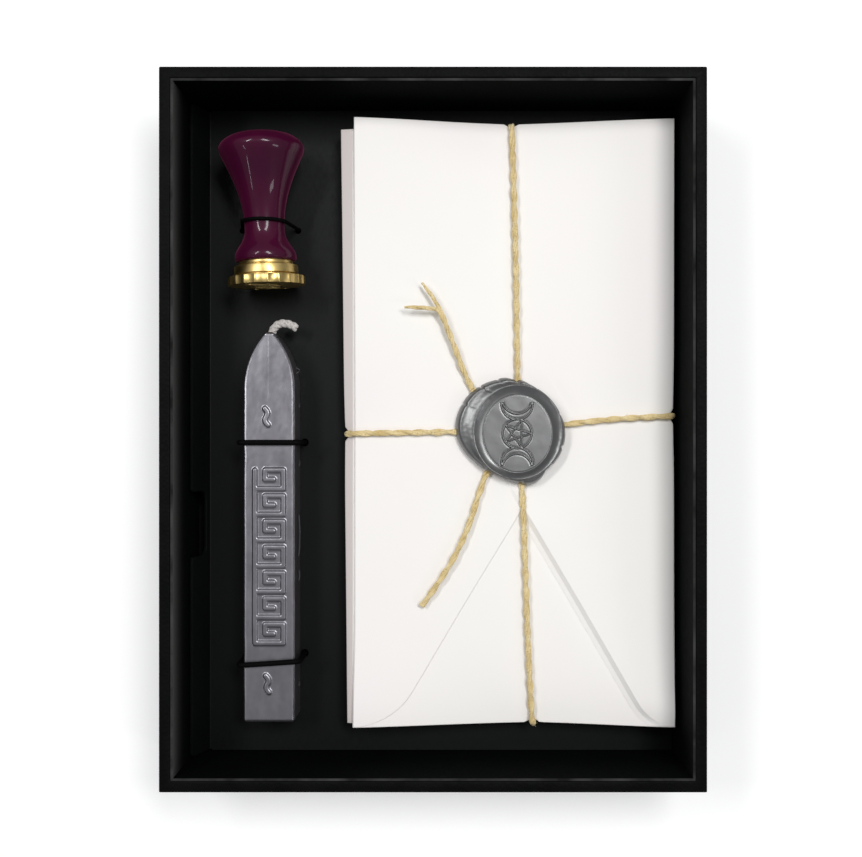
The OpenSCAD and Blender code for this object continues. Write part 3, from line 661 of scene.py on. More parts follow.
stamp = dict(face=(-42.9, 37.1, 18.196), yaw=2.13, tilt=1.632, length=39.8, handleR=10.9, neckR=5.07, footR=7.83,
             waist=14.6, headR=9.9, rim=2.35, stepR=8.15, head=5.1, ringR=6.93, ring=1.1, ringEdge=0.22, gap=0.05,
             studR=2.55, studIn=3.6, studUp=8, scallops=20, scallopR=4.2, scallopDeep=0.34, engraved=0.5)
emblem = dict(ring=3.72, line=0.22, soft=0.17, moat=0.22, outerR=4.0, outerAt=7.6, innerR=3.86, innerAt=9.0, horn=8.1)


def emblemLine(x, y):
    # 1 on a line of the moon emblem, 0 away from it: a ring with a star, and a crescent on each side
    e = emblem
    near = abs(math.hypot(x, y) - e["ring"])
    if math.hypot(x, y) < e["ring"] + 1:
        tips = [Vector((math.cos(a), math.sin(a))) * (e["ring"] - 0.1) for a in (math.tau * k / 5 for k in range(5))]
        p = Vector((x, y))
        for k in range(5):
            a, b = tips[k], tips[(k + 2) % 5]
            t = min(max((p - a).dot(b - a) / (b - a).length_squared, 0), 1)
            near = min(near, (p - a.lerp(b, t)).length + 0.05)
    rise = abs(y)
    if rise < e["horn"]:
        near = min(near, abs(math.hypot(x, rise - e["outerAt"]) - e["outerR"]) if rise > e["ring"] - 0.1 else 9,
                   abs(math.hypot(x, rise - e["innerAt"]) - e["innerR"]) if rise > e["ring"] else 9)
    hollow = e["moat"] * hill(near - e["line"] / 2 - e["soft"] - 0.05, 0.12)
    return 1 - blendTo((near - e["line"] / 2) / e["soft"]) - hollow


def onStamp():
    return (Matrix.Translation(stamp["face"]) @ Matrix.Rotation(math.radians(stamp["yaw"]), 4, "Z")
            @ Matrix.Rotation(math.radians(stamp["tilt"] - 90), 4, "X"))


def makeHandle():
    s = stamp
    foot = s["head"] + s["ring"] + 2 * s["gap"]
    widest = s["length"] - 4.7
    r, big, end = s["neckR"], s["handleR"], s["length"]
    outline = [(0, foot + s["studUp"]), (s["studR"], foot + s["studUp"]), (s["studR"], foot)]
    outline += [(s["footR"] - 0.5, foot), (s["footR"] - 0.15, foot + 0.15), (s["footR"], foot + 0.5)]
    outline += list(bezier([(s["footR"], foot + 1.2), (s["footR"] - 0.1, foot + 3.4), (r, s["waist"] - 3.7),
                            (r, s["waist"])], 24))
    outline += list(bezier([(r, s["waist"]), (r, 21.6), (big - 3.55, widest - 8.1), (big - 0.3, widest - 1.5)], 32))
    outline += list(bezier([(big - 0.15, widest - 0.9), (big + 0.35, widest + 0.5), (big - 0.6, end - 3),
                            (big - 2.6, end - 1.9)], 18))
    outline += list(bezier([(big - 3.2, end - 1.65), (big - 5, end - 0.95), (3, end - 0.6), (0, end - 0.6)], 14))
    bm = turned(outline, 112)
    moved(bm, onStamp())
    finishPiece(bm, "stampHandle", "plum_lacquer", "stamp", ["stamp_handle"], sharp=50)


def makeRing():
    s = stamp
    edge, ringAt = s["ringEdge"], s["head"] + s["gap"]
    outline = [(s["studR"], ringAt), (s["ringR"] - edge, ringAt), (s["ringR"] - edge * 0.3, ringAt + edge * 0.3),
               (s["ringR"], ringAt + edge), (s["ringR"], ringAt + s["ring"] - edge),
               (s["ringR"] - edge * 0.3, ringAt + s["ring"] - edge * 0.3), (s["ringR"] - edge, ringAt + s["ring"]),
               (s["studR"], ringAt + s["ring"]), (s["studR"], ringAt)]
    bm = turned(outline, 112)
    moved(bm, onStamp())
    finishPiece(bm, "collarRing", "brass", "collar", ["collar_ring"], sharp=25)


def makeHead():
    s = stamp
    face = [(0.13 * i, 0) for i in range(74)]
    rim, top, step, wide = s["rim"], s["head"], s["stepR"], s["headR"]
    outline = face + [(wide - 0.25, 0), (wide - 0.08, 0.08), (wide, 0.25), (wide, rim / 2), (wide, rim - 0.25),
                      (wide - 0.08, rim - 0.08), (wide - 0.25, rim), (step - 0.35, rim), (step - 0.35, rim + 0.3),
                      (step, rim + 0.6), (step, top - 0.3), (step - 0.09, top - 0.09), (step - 0.3, top),
                      (s["studR"], top), (s["studR"], top - s["studIn"] - 0.3), (0, top - s["studIn"] - 0.3)]
    bm = turned(outline, 240)
    pitch = math.tau / s["scallops"]
    centre = wide + s["scallopR"] - s["scallopDeep"]
    for v in bm.verts:
        out = math.hypot(v.co.x, v.co.y)
        angle = math.atan2(v.co.y, v.co.x)
        if out > 9.3 and v.co.z < rim + 0.01:
            off = (angle / pitch + 0.5) % 1 - 0.5
            side = centre * math.sin(off * pitch)
            if abs(side) < s["scallopR"]:
                hit = centre * math.cos(off * pitch) - math.sqrt(s["scallopR"] ** 2 - side ** 2)
                v.co.xy *= min(hit, wide) / wide
        elif v.co.z < 0.01 and out < 9.2:
            v.co.z += s["engraved"] * emblemLine(v.co.x, -v.co.y)
    moved(bm, onStamp())
    finishPiece(bm, "sealHead", "brass", "head", ["seal_head"], sharp=28)


makeHandle()
makeRing()
makeHead()
print("stamp made")


# the wax stick: a cast bar with rolled edges and a raised border, and its braided wick

stick = dict(x=-42.15, y=-75.0, low=8.3, high=11.2, length=100.2, width=13.1, point=14.7, pointR=21.7, roll=0.7,
             relief=0.45, keyWidth=8.4, keyLength=6.6, keyStroke=1.1, keyFrom=19.8, keys=7,
             waves=((-0.4, 9.9), (-0.7, 78.4)), waveR=0.5, across=66, rows=420, wick=13.9,
             # flash left by the mould: its place along the stick, length and reach
             flash=((90.5, 1.4, 0.9), (81.5, 0.9, 0.3), (66.5, 1.3, 0.35), (47.5, 10.5, 0.3), (37.2, 2.6, 0.25),
                    (9, 1.2, 0.25), (15, 0.8, 0.3)))


def halfWidth(y):
    s = stick
    start = s["length"] - s["point"]
    half = s["width"] / 2
    if y > start:
        half = half - s["pointR"] + math.sqrt(s["pointR"] ** 2 - (y - start) ** 2)
    nose = s["length"] - y            # blunt rounded tip
    if nose < 1.6:
        half = min(half, 0.55 + 2.4 * math.sqrt(max(nose, 0) / 1.6))
    if y < 0.9:
        half -= 0.45 * (1 - y / 0.9) ** 2
    return half


def reliefStrokes():
    # middle lines of the raised border's keys, and of a wave near each end
    s = stick
    span = s["keyWidth"] - s["keyStroke"]
    shapes = ((0, 0, 0, 0.72), (0, 0, 1, 0), (1, 0, 1, 0.72), (0.36, 0.72, 1, 0.72), (0.36, 0.36, 0.36, 0.72),
              (0.36, 0.36, 0.66, 0.36))
    for k in range(s["keys"]):
        base = s["keyFrom"] + k * s["keyLength"] + s["keyStroke"] / 2
        for x0, y0, x1, y1 in shapes:
            yield (Vector(((x0 - 0.5) * span, base + y0 * s["keyLength"])),
                   Vector(((x1 - 0.5) * span, base + y1 * s["keyLength"])))
        if k:
            yield Vector((-span / 2, base - 0.3 * s["keyLength"])), Vector((-span / 2, base))
    for across, middle in s["waves"]:
        line = [Vector((across + s["waveR"] * math.sin(t / 10 * math.pi) - 0.04 * t, middle + 2.1 * t / 10))
                for t in range(-10, 11)]
        yield from zip(line, line[1:])


def reliefAt(x, y, strokes):
    # soft raised strokes
    s = stick
    best = 0.0
    p = Vector((x, y))
    for a, b in strokes:
        if a.y - 1.5 < y < b.y + 1.5 or b.y - 1.5 < y < a.y + 1.5:
            d = b - a
            t = min(max((p - a).dot(d) / d.length_squared, 0), 1)
            best = max(best, 1 - blendTo(((p - a.lerp(b, t)).length - s["keyStroke"] / 2 + 0.1) / 0.32))
    return s["relief"] * best


def stickSection(roll=6, side=4, under=6):
    # the section's points in order, each on one of its sides and at a share of it
    across = stick["across"]
    section = [("top", -1 + 2 * i / across) for i in range(across + 1)]
    section += [("rollRight", i / roll) for i in range(1, roll + 1)]
    section += [("right", i / side) for i in range(1, side)]
    section += [("bottom", 1 - 2 * i / under) for i in range(under + 1)]
    section += [("left", 1 - i / side) for i in range(1, side)]
    return section + [("rollLeft", 1 - i / roll) for i in range(roll)]


def makeBar():
    s = stick
    strokes = list(reliefStrokes())
    section = stickSection()
    bm = bmesh.new()
    bmesh.ops.create_grid(bm, x_segments=len(section), y_segments=s["rows"], size=0.5)
    for n, v in enumerate(sorted(bm.verts, key=lambda v: (round(v.co.y, 6), v.co.x))):
        row, column = divmod(n, len(section) + 1)
        kind, u = section[column % len(section)]
        t = row / s["rows"]
        # rows crowd towards the tip
        y = s["length"] * (1 - (1 - t) ** 1.15) if t < 1 else s["length"]
        half = max(halfWidth(y), 0.05)
        nose = s["length"] - y
        squat = 0.0
        if nose < 0.9:
            squat = 0.8 * (1 - math.sqrt(max(1 - (1 - nose / 0.9) ** 2, 0)))
        if y < 0.8:
            squat = 0.5 * (1 - y / 0.8) ** 2
        rr = min(s["roll"], half * 0.6)
        high = s["high"] - squat
        flat = half - rr
        if kind == "top":
            x = u * flat
            z = high
        elif kind in ("rollRight", "rollLeft"):
            a = u * math.pi / 2
            x = flat + rr * math.sin(a)
            z = high - rr * 0.55 * (1 - math.cos(a))
            x = x if kind == "rollRight" else -x
        elif kind in ("right", "left"):
            x = half + 0.12 * u
            x = x if kind == "right" else -x
            z = (high - rr * 0.55) * (1 - u) + 0.4 * u
        else:
            x = u * (half + 0.1)
            z = 0.0 if abs(u) < 0.99 else 0.25
        if kind in ("top", "rollRight", "rollLeft"):
            edge = half - abs(x)
            z += reliefAt(x, y, strokes) * blendTo(edge / 0.8) if kind == "top" else 0
            z += 0.16 * hill(edge - 0.36, 0.17) * blendTo(nose / 0.8)          # rolled rim round the top
            z -= 0.02 * hill(x + 0.4 - 0.012 * (y - 90), 0.16) * blendTo((y - 82) / 3) * blendTo(nose / 2)
        dent = noise.noise((x / 4.1, y / 9.3, 0.3)) * 0.05 + noise.noise((x / 1.1, y / 1.6, 4.3)) * 0.016
        if kind != "bottom":
            z += dent if kind == "top" else dent * 0.5
            x += 0.07 * noise.noise((0.4 if x > 0 else 8.4, y / 4.0, z / 6)) + 0.03 * noise.noise((x, y / 0.9, 2))
        v.co = (s["x"] + x, s["y"] + y, s["low"] + z)
    bmesh.ops.remove_doubles(bm, verts=bm.verts, dist=0.002)
    bmesh.ops.holes_fill(bm, edges=[e for e in bm.edges if len(e.link_faces) == 1])
    bmesh.ops.recalc_face_normals(bm, faces=bm.faces)
    foot = s["x"] + s["width"] / 2 - 0.05 - halfWidth(0)
    for middle, long, out in s["flash"]:
        fin = [Vector((foot + halfWidth(middle) + out * (1 - t * t), s["y"] + middle + long * t / 2,
                       s["low"] + 6.2 + 0.5 * out * (1 - t))) for t in (-1, -0.6, -0.2, 0.2, 0.6, 1)]
        strands(bm, [fin], 0.14, 0)
    finishPiece(bm, "waxBar", "stick_wax", "stick", ["wax_bar"], sharp=60)


def makeWick():
    s = stick
    bm = bmesh.new()
    tip = Vector((s["x"], s["y"] + s["length"], s["wick"]))
    bend = ((0, -99.8, 0), (0, -60, 0), (0, -30, 0), (0, -15, 0), (0, -8, 0), (0, -4, 0), (0, -1.6, 0),
            (-0.05, 0.2, 0.1), (0.7, 1.6, 0.3), (1.9, 2.45, 0.6), (3.4, 2.6, 0.7), (5, 2.2, 0.5), (6.3, 1.45, 0.2))
    route = smoothRoute([tip + Vector(p) for p in bend], 0.4)
    strands(bm, plied(route, 3, 0.56, 4.6), 0.56, 2)
    strands(bm, plied(route, 3, 0.62, -4.6, 1.0), 0.40, 1)
    finishPiece(bm, "wick", "cotton", "stick", ["wick"], sharp=60)


makeBar()
makeWick()
print("stick made")


# the envelopes: folded sheets with soft edges; the top one shows its flaps

paper = dict(sheet=0.62, flap=0.12, cell=1.3, flapCell=1.7, fold=0.24, gap=0.03, fill=0.94, fillBelow=0.92,
             flapRoom=0.3)
flaps = dict(
    # free edge of each flap in the lower half: the corner, the shoulder's control point and end, and the tip
    right=dict(level=0.0, rise=1.35, ramp=2.3, edge=((60, -78.2), (54, -76.3), (50.8, -70.9), (17.0, -13.7))),
    left=dict(level=0.13, rise=0.22, ramp=0, edge=((-20.4, -76.1), (-10.4, -75.2), (-5.4, -66.7), (20.7, -23.9))))


def flapLines(edge):
    # the free edge as short straight pieces: a rounded shoulder, then straight to the tip
    a, b, c, tip = (Vector(p) for p in edge)
    points = [(1 - t) ** 2 * a + 2 * t * (1 - t) * b + t * t * c for t in (i / 9 for i in range(10))] + [tip]
    return list(zip(points, points[1:]))


def sheetSolid(width, length, thick, cell):
    bm = bmesh.new()
    bmesh.ops.create_grid(bm, x_segments=max(2, round(width / cell)), y_segments=max(2, round(length / cell)), size=0.5)
    bmesh.ops.scale(bm, vec=(width, length, 1), verts=bm.verts)
    thickened(bm, (0, 0, thick))
    return bm


def pulledIn(x, y, number):
    # the twine draws the sheets' edges in: a little over a wide stretch, and a notch where it lies
    dx = -(0.15 * hill(y - 3.6, 9) + 1.15 * hill(y - 3.6, 1.0)) * blendTo((x - 58) / 3)
    dx += (0.15 * hill(y + 0.9, 8) + 1.5 * hill(y + 0.9, 1.0)) * blendTo((-21.2 - x) / 1.5)
    dy = -(1.15 * slope(x - 20.2, 41) + 1.0 * hill(x - 20.2, 1.0)) * blendTo((y - 72) / 7)
    dy += (1.0 * slope(x - 25.7, 45) + 1.2 * hill(x - 25.7, 1.0)) * blendTo((-70 - y) / 6)
    if number:
        dy += 2.5 * blendTo((-40 - y) / 36) - 0.3 * blendTo((y - 40) / 36)
    else:
        dy -= 0.75 * blendTo((-40 - y) / 36)
        dx -= 0.4 * blendTo(-x / 20) * blendTo((-50 - y) / 26)
    return dx, dy


def makeEnvelope(number):
    p = paper
    x0, y0, turn = bundle["places"][number]
    level = bundle["count"] - 1 - number
    cell = p["cell"] if number == 0 else p["cell"] * 1.5
    bm = sheetSolid(*bundle["size"], p["sheet"], cell)
    rounded(bm, folds(bm.edges, 1), p["fold"], 3)
    moved(bm, Matrix.Translation((x0, y0, 0)) @ Matrix.Rotation(math.radians(turn), 4, "Z"))
    for v in bm.verts:
        x, y, z = v.co
        low, high = sheetHeight(x, y, level), sheetHeight(x, y, level + 1)
        room = (high - low) * p["fillBelow"] if number else (high - low) * p["fill"] - p["flapRoom"]
        dx, dy = pulledIn(x, y, number)
        v.co = (x + dx, y + dy, low + p["gap"] + z / p["sheet"] * room)
    return bm


def outWay(a, b, inside):
    out = Vector((b.y - a.y, a.x - b.x)).normalized()
    return -out if out.dot(inside - a) > 0 else out


def makeFlap(bm, name):
    # adds one flap of the top envelope to its mesh
    p, f = paper, flaps[name]
    x0, y0, _ = bundle["places"][0]
    width, length = bundle["size"]
    sheet = bmesh.new()
    bmesh.ops.create_grid(sheet, x_segments=round(width / p["flapCell"]), y_segments=round(length / p["flapCell"]),
                          size=0.5)
    bmesh.ops.scale(sheet, vec=(width - 0.7, length - 0.7, 1), verts=sheet.verts)
    bmesh.ops.translate(sheet, vec=(x0, y0, 0), verts=sheet.verts)
    inside = Vector((x0 + (30 if name == "right" else -30), y0))
    lines = flapLines(f["edge"])
    lines += [(Vector((a.x, 2 * y0 - a.y)), Vector((b.x, 2 * y0 - b.y))) for a, b in lines]
    for a, b in lines:
        cut(sheet, (a.x, a.y, 0), (*outWay(a, b, inside), 0))
    # a crease a little way in from the free edge
    for share in (0.5, 1) if f["ramp"] else ():
        for a, b in lines:
            way = outWay(a, b, inside)
            at = a - way * f["ramp"] * share
            cut(sheet, (at.x, at.y, 0), (*way, 0), away=False)
    thickened(sheet, (0, 0, p["flap"]))
    for v in sheet.verts:
        x, y, z = v.co
        off = max((v.co.xy - a).dot(outWay(a, b, inside)) for a, b in lines)   # 0 at the free edge, less inside
        # the lower half's free edge stands up a little; the upper half's lies flat
        lift = f["rise"] * hill(off + f["ramp"], 9) * blendTo((-10 - y) / 16) * blendTo((y + 78) / 9)
        if f["ramp"]:
            t = min(-off / f["ramp"], 1)
            lift *= 0.5 * t if t < 0.5 else 1.5 * t - 0.5
        flat = 1 - 0.85 * blendTo((y - 20) / 20)
        dx, dy = pulledIn(x, y, 0)
        low, high = sheetHeight(x, y, bundle["count"] - 1), sheetHeight(x, y, bundle["count"])
        base = low + p["gap"] + (high - low) * p["fill"] - p["flapRoom"]
        v.co = (x + dx, y + dy, base + (f["level"] + z) * flat + lift)
    joinPieces(bm, sheet)


for number in range(bundle["count"]):
    bm = makeEnvelope(number)
    if number == 0:
        makeFlap(bm, "right")
        makeFlap(bm, "left")
    finishPiece(bm, "envelope%d" % (number + 1), "white_paper", "bundle", ["envelope_%d" % (number + 1)],
                sharp=50 if number else 9)
print("envelopes made")


# the twine round the bundle, with its hidden knot

loops = dict(farX=20.2, nearX=25.7, leftY=-0.9, rightY=3.6, far=80.8, near=-78.7, left=-21.6, right=61.1, under=8.95,
             edgeR=0.95)


def topHeight(x, y):
    return sheetHeight(x, y, bundle["count"] if x > bundle["topFrom"] else bundle["count"] - 1)


def onTop(x, y):
    return (x, y, topHeight(x, y) + twine["over"])


def edgeTurn(x, y, way):
    # round the bundle's edge, from the top to the underside
    top, low = topHeight(x, y) + 0.05, bundle["low"]
    r = loops["edgeR"]

    def at(a, height):
        out = Vector(way).normalized() * r * math.cos(math.radians(a))
        return (x + out.x, y + out.y, height)

    return ([(x, y, top + r)] + [at(a, top + r * math.sin(math.radians(a))) for a in (60, 30, 0)]
            + [at(0, (top + low) / 2)] + [at(a, low - r * math.sin(math.radians(a))) for a in (0, 45, 90)])


def makeLoop(points, hairs, name, node):
    route = smoothRoute(points, twine["step"])
    bm = bmesh.new()
    twist(bm, route)
    fuzz(bm, route, hairs)
    finishPiece(bm, name, "twine", "bundle", [node])


def makeLoops():
    # each loop from the knot over the top, round one edge, underneath, and back round the other
    p = loops
    kx, ky = twine["knot"]
    shares = (0, 0.1, 0.2, 0.35, 0.5, 0.65, 0.8, 0.9, 0.955)
    far = [(kx - 0.1 - 1.6 * t + 0.25 * math.sin(math.pi * t), 2 + (p["far"] - 2) * t) for t in shares]
    near = [(kx + 0.1 + 3.7 * t + 0.2 * math.sin(math.tau * t), -2 + (p["near"] + 2) * t) for t in shares]
    under = [(p["farX"] + (p["nearX"] - p["farX"]) * t, p["far"] + (p["near"] - p["far"]) * t, p["under"])
             for t in (0.1, 0.3, 0.5, 0.7, 0.9)]
    points = [onTop(x, y) for x, y in far] + edgeTurn(p["farX"], p["far"] - 2.6, (0, 1))
    points += under + edgeTurn(p["nearX"], p["near"] + 3.6, (0, -1))[::-1] + [onTop(x, y) for x, y in near[::-1]]
    makeLoop(points, 90, "twineLoopLong", "twine_loop_long")

    shares = (0, 0.15, 0.3, 0.45, 0.6, 0.75, 0.9)
    right = [(kx + 2 + (p["right"] - kx - 2) * t, ky + 3.8 * t + 0.75 * math.sin(math.pi * t))
             for t in (*shares, 0.965)]
    left = [(kx - 2 + (p["left"] - kx + 2) * t, ky - 0.7 * t) for t in (*shares, 0.97)]
    # underneath it crosses over the long loop
    under = [(p["right"] + (p["left"] - p["right"]) * t, p["rightY"] + (p["leftY"] - p["rightY"]) * t,
              p["under"] + 1.85 * up)
             for t, up in ((0.08, 0), (0.33, 0), (0.39, 1), (0.5, 1), (0.56, 0), (0.8, 0), (0.93, 0))]
    points = [onTop(x, y) for x, y in right] + edgeTurn(p["right"], p["rightY"], (1, 0))
    points += under + edgeTurn(p["left"], p["leftY"], (-1, 0))[::-1] + [onTop(x, y) for x, y in left[::-1]]
    makeLoop(points, 50, "twineLoopShort", "twine_loop_short")


def makeKnot():
    kx, ky = twine["knot"]
    bm = bmesh.new()
    turns = [math.tau * k / 120 for k in range(120)] + [0]
    knot = [Vector((kx + 0.52 * (math.sin(a) + 2 * math.sin(2 * a)), ky + 0.52 * (math.cos(a) - 2 * math.cos(2 * a)),
                    17.55 - 0.45 * math.sin(3 * a))) for a in turns]
    strands(bm, plied(knot, 2, 0.3, 3.1), 0.36, 1)
    for which in ("upper", "lower"):
        x, y, _ = twine[which][0]
        strands(bm, plied(smoothRoute([onTop(kx, ky), onTop(kx + x, ky + y)], 0.6), 2, 0.42, twine["pitch"]), 0.46, 1)
    finishPiece(bm, "twineKnot", "twine", "bundle", ["twine_knot"])


makeLoops()
makeKnot()
print("twine made")


# the seal: poured wax pressed with the stamp

seal = dict(low=16.3, centre=(19.85, -0.35), discCentre=(21.55, -0.9), disc=(9.05, 10.15), crestCentre=(21.6, -0.55),
            crest=(11.25, 12.0), floor=19.6, crestZ=20.9, crestDrop=0.55, lipDrop=0.75, emblemUp=0.4,
            emblemAt=(21.4, -0.95),
            radii=(14.2, 13.6, 13.2, 13.2, 14, 14, 14.3, 14.4, 14.2, 13.1, 12.1, 12, 13, 14.8, 13.9, 14.2),
            # nicks in the edge: direction, depth and width
            nicks=((84, 0.75, 1.6), (86.5, 0.35, 6), (124, 0.6, 1.1), (104, 0.35, 1.2), (150, 0.3, 1.2),
                   (232, 0.8, 1.4), (262, 0.5, 1.2), (280, 0.5, 1.4), (319, 0.9, 1.6), (311, 0.5, 4),
                   (343, 0.6, 1.6), (20, 0.3, 1.4), (60, 0.3, 1.2)))


def sealEdge(angle):
    radii = seal["radii"]
    degrees = math.degrees(angle) % 360
    i, t = divmod(degrees / 360 * len(radii), 1)
    i = int(i)
    a, b, c, d = (radii[(i + k) % len(radii)] for k in (-1, 0, 1, 2))
    r = b + 0.5 * t * (c - a + t * (2 * a - 5 * b + 4 * c - d + t * (3 * (b - c) + d - a)))
    for at, deep, wide in seal["nicks"]:
        gap = abs((degrees - at + 180) % 360 - 180)
        r -= deep * hill(gap, wide)
    return r + 0.12 * noise.noise((math.cos(angle) * 5, math.sin(angle) * 5, 1.7))


def makeSeal():
    s = seal
    # rings 0 to 1 are the pressed face, 1 to 2 the slope to the crest, 2 to 3 the flank down to the edge
    rings = [i / 96 for i in range(97)] + [1 + i / 16 for i in range(1, 17)] + [2 + i / 26 for i in range(1, 27)]
    outline = [(r, 0) for r in rings] + [(3.02, -1), (2.5, -1), (0, -1)]
    bm = turned(outline, 336)
    for v in bm.verts:
        rho, angle, under = math.hypot(v.co.x, v.co.y), math.atan2(v.co.y, v.co.x), v.co.z < -0.5
        way = Vector((math.cos(angle), math.sin(angle)))
        disc = Vector(s["discCentre"]) + Vector((way.x * s["disc"][0], way.y * s["disc"][1]))
        crest = Vector(s["crestCentre"]) + Vector((way.x * s["crest"][0], way.y * s["crest"][1]))
        edge = Vector(s["centre"]) + way * sealEdge(angle)
        # the crest is highest at the right, where the slope bulges; at the left the slope is hollow
        lee = blendTo(0.5 + 0.75 * way.x - 0.3 * way.y)
        top = s["crestZ"] - s["crestDrop"] * (1 - lee)
        if under:
            share = min(rho / 3, 1)
            v.co = (*(Vector(s["centre"]).lerp(edge, share)), s["low"])
            continue
        if rho <= 1:
            p = Vector(s["discCentre"]).lerp(disc, rho)
            z = s["floor"] + s["emblemUp"] * emblemLine(p.x - s["emblemAt"][0], p.y - s["emblemAt"][1])
            z -= 0.13 * hill(rho - 0.98, 0.012)
            z += 0.02 * noise.noise((p.x / 2.5, p.y / 2.5, 3))
        elif rho <= 2:
            t = rho - 1
            p = disc.lerp(crest, t)
            bulge = 0.75 * math.sin(t * math.pi / 2) + 0.25 * t
            z = s["floor"] + (top - s["floor"]) * (lee * bulge + (1 - lee) * t ** 1.7)
        else:
            t = rho - 2
            p = crest.lerp(edge, t)
            wide = (edge - crest).length
            steep = min(1.5 / max(wide, 0.8), 0.85)          # the flank drops over the last millimetre or so
            lip = s["lipDrop"] * min(wide / 3, 1)
            if t < 1 - steep:
                z = top - lip * blendTo(t / (1 - steep))
            else:
                start = top - lip
                fall = (t - (1 - steep)) / steep
                z = start - (start - s["low"] - 0.15) * (1 - math.sqrt(max(1 - fall * fall, 0)))
        if rho > 1:
            z += 0.07 * noise.noise((p.x / 3.2, p.y / 3.2, 8)) * min(rho - 1, 1) * (1 if rho < 2.9 else 0.3)
            z += 0.03 * noise.noise((p.x / 0.9, p.y / 0.9, 5)) * min(rho - 1, 1)
        v.co = (p.x, p.y, z)
    bmesh.ops.recalc_face_normals(bm, faces=bm.faces)
    finishPiece(bm, "waxSeal", "seal_wax", "bundle", ["wax_seal"], sharp=80)


makeSeal()
print("seal made")


# the elastic ties: a loop above the deck, and a knot beneath

tie = dict(deck=8.0, card=0.8, knotR=1.3, stampAt=(-43.495, 53.4, 18.65), stampReach=7.4, stampR=0.45, hug=5.67,
           waxX=-42.15, waxTop=19.5, waxReach=7.75, waxR=0.7)


def makeTie(name, above, holes, r, node):
    bm = bmesh.new()
    strands(bm, [smoothRoute(above, 0.5)], r, 3)
    loop = finishPiece(bm, name, "elastic", "insert", [node], sharp=60)
    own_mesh(loop)
    bm = bmesh.new()
    low = tie["deck"] - tie["card"] - tie["knotR"]
    (x0, y0), (x1, y1) = holes
    middle = Vector(((x0 + x1) / 2, (y0 + y1) / 2, low))
    for x, y in holes:
        side = Vector((x - middle.x, y - middle.y, 0)).normalized()
        strands(bm, [smoothRoute([(x, y, tie["deck"] + 0.1), (x, y, low + 0.9), Vector((x, y, low + 0.1)) - side * 0.8,
                                  middle + side * 1.0], 0.4)], r, 2)
    turns = [middle + Vector((0.8 * math.sin(2 * a), 0.75 * math.sin(a + 0.4), 0.55 * math.cos(a * 3)))
             for a in [math.tau * k / 40 for k in range(40)] + [0]]
    strands(bm, [turns], min(r, 0.62), 2)
    finishPiece(bm, name + "Knot", "elastic", "insert", sharp=60)


def makeTies():
    t = tie
    x, y, z = t["stampAt"]
    drop = z - t["deck"]
    start = math.acos(t["hug"] / math.hypot(t["stampReach"], drop)) - math.atan(drop / t["stampReach"])
    arc = [start + (math.pi - 2 * start) * i / 12 for i in range(13)]
    first, last = x - t["stampReach"], x + t["stampReach"]
    above = [(x + t["hug"] * math.cos(a), y, z + t["hug"] * math.sin(a)) for a in arc]
    above = [(last, y, t["deck"])] + above + [(first, y, t["deck"])]
    makeTie("stampTie", above, ((first, y), (last, y)), t["stampR"], "stamp_tie")
    x, side, top, up = t["waxX"], t["waxReach"], t["waxTop"], t["waxR"] + 0.15
    for which, y, slant in (("Upper", -3.2, 0), ("Lower", -59.7, 0.45)):
        half = [(side, slant, t["deck"] - top), (side, slant, -1.2), (side - 0.5, slant, up - 0.25),
                (side - 1.5, slant * 0.9, up)]
        above = half + [(0, 0, up + 0.12)] + [(-a, -b, c) for a, b, c in half[::-1]]
        above = [(x + a, y + b, top + c) for a, b, c in above]
        makeTie("waxTie" + which, above, ((x - side, y - slant), (x + side, y + slant)), t["waxR"],
                "wax_tie_" + which.lower())


makeTies()
print("ties made")


# floor and light

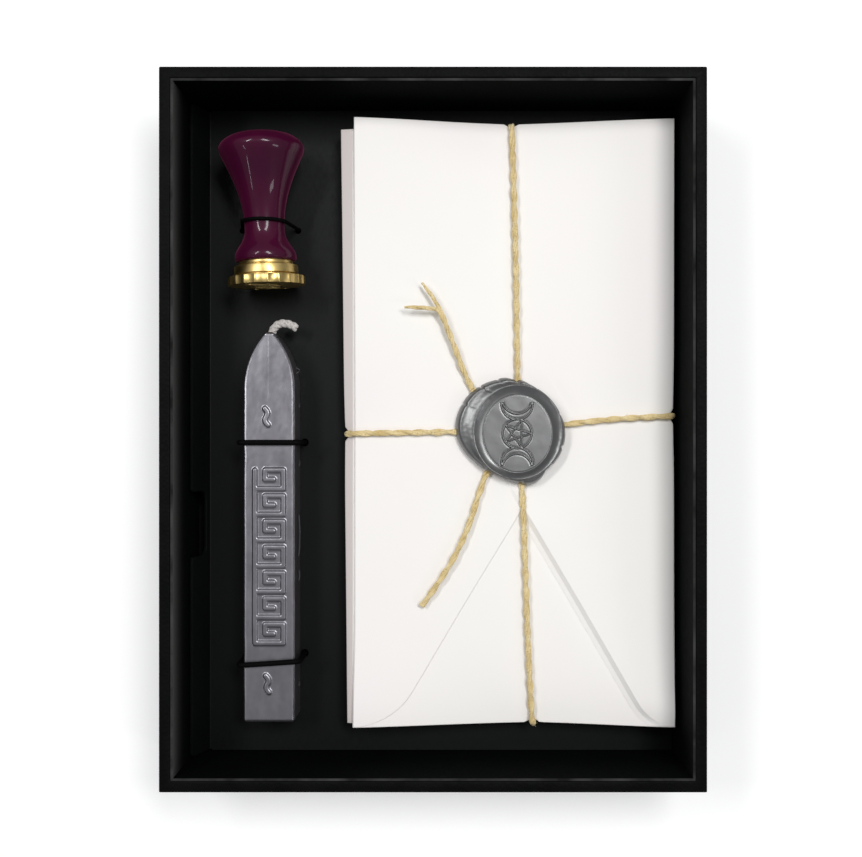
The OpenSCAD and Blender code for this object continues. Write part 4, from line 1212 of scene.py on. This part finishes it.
def makeFloor():
    bm = bmesh.new()
    bmesh.ops.create_grid(bm, x_segments=1, y_segments=1, size=2)
    mesh = bpy.data.meshes.new("floor")
    bm.to_mesh(mesh)
    bm.free()
    look = bpy.data.materials.new("paleFloor")
    look.use_nodes = True
    tree = look.node_tree
    tree.nodes.clear()
    out = tree.nodes.new("ShaderNodeOutputMaterial")
    lit = tree.nodes.new("ShaderNodeBsdfDiffuse")
    lit.inputs["Color"].default_value = (0.9, 0.9, 0.9, 1)
    glow = tree.nodes.new("ShaderNodeEmission")
    glow.inputs["Strength"].default_value = 1.53
    shown = tree.nodes.new("ShaderNodeMixShader")
    shown.inputs["Fac"].default_value = 0.27
    both = tree.nodes.new("ShaderNodeMixShader")
    rays = tree.nodes.new("ShaderNodeLightPath")
    seen = maths(look, "MAXIMUM", rays.outputs["Is Camera Ray"], rays.outputs["Is Glossy Ray"])
    seen = maths(look, "MAXIMUM", seen, rays.outputs["Is Transmission Ray"])
    for source, socket in ((lit.outputs[0], shown.inputs[1]), (glow.outputs[0], shown.inputs[2]),
                           (seen, both.inputs["Fac"]), (lit.outputs[0], both.inputs[1]),
                           (shown.outputs[0], both.inputs[2]), (both.outputs[0], out.inputs["Surface"])):
        tree.links.new(source, socket)
    mesh.materials.append(look)
    floor = bpy.data.objects.new("paleFloor", mesh)
    scene.collection.objects.link(floor)
    floor.location.z = -0.0002


def addLamp(name, place, aim, size, power):
    data = bpy.data.lights.new(name, "AREA")
    data.shape = "RECTANGLE"
    data.size, data.size_y = size
    data.energy = power
    lamp = bpy.data.objects.new(name, data)
    lamp.location = place
    lamp.rotation_euler = (Vector(aim) - Vector(place)).to_track_quat("-Z", "Y").to_euler()
    scene.collection.objects.link(lamp)


makeFloor()
# two tubes overhead at the far side, and a slim light near each front corner
addLamp("tubeLeft", (-0.52, 0.30, 1.0), (-0.04, 0.05, 0), (0.46, 0.10), 4.0)
addLamp("tubeRight", (0.29, 0.30, 1.0), (-0.04, 0.05, 0), (0.5, 0.2), 6.2)
addLamp("slimLeft", (-0.88, -0.66, 0.95), (-0.88, -0.66, 0), (0.045, 0.4), 0.7)
addLamp("slimRight", (1.0, -0.5, 0.9), (0.2, -0.3, 0), (0.14, 0.4), 1.2)
world = bpy.data.worlds.new("studio")
world.use_nodes = True
world.node_tree.nodes["Background"].inputs["Color"].default_value = (0.95, 0.97, 1.0, 1)
world.node_tree.nodes["Background"].inputs["Strength"].default_value = 0.28
scene.world = world
print("lights set")
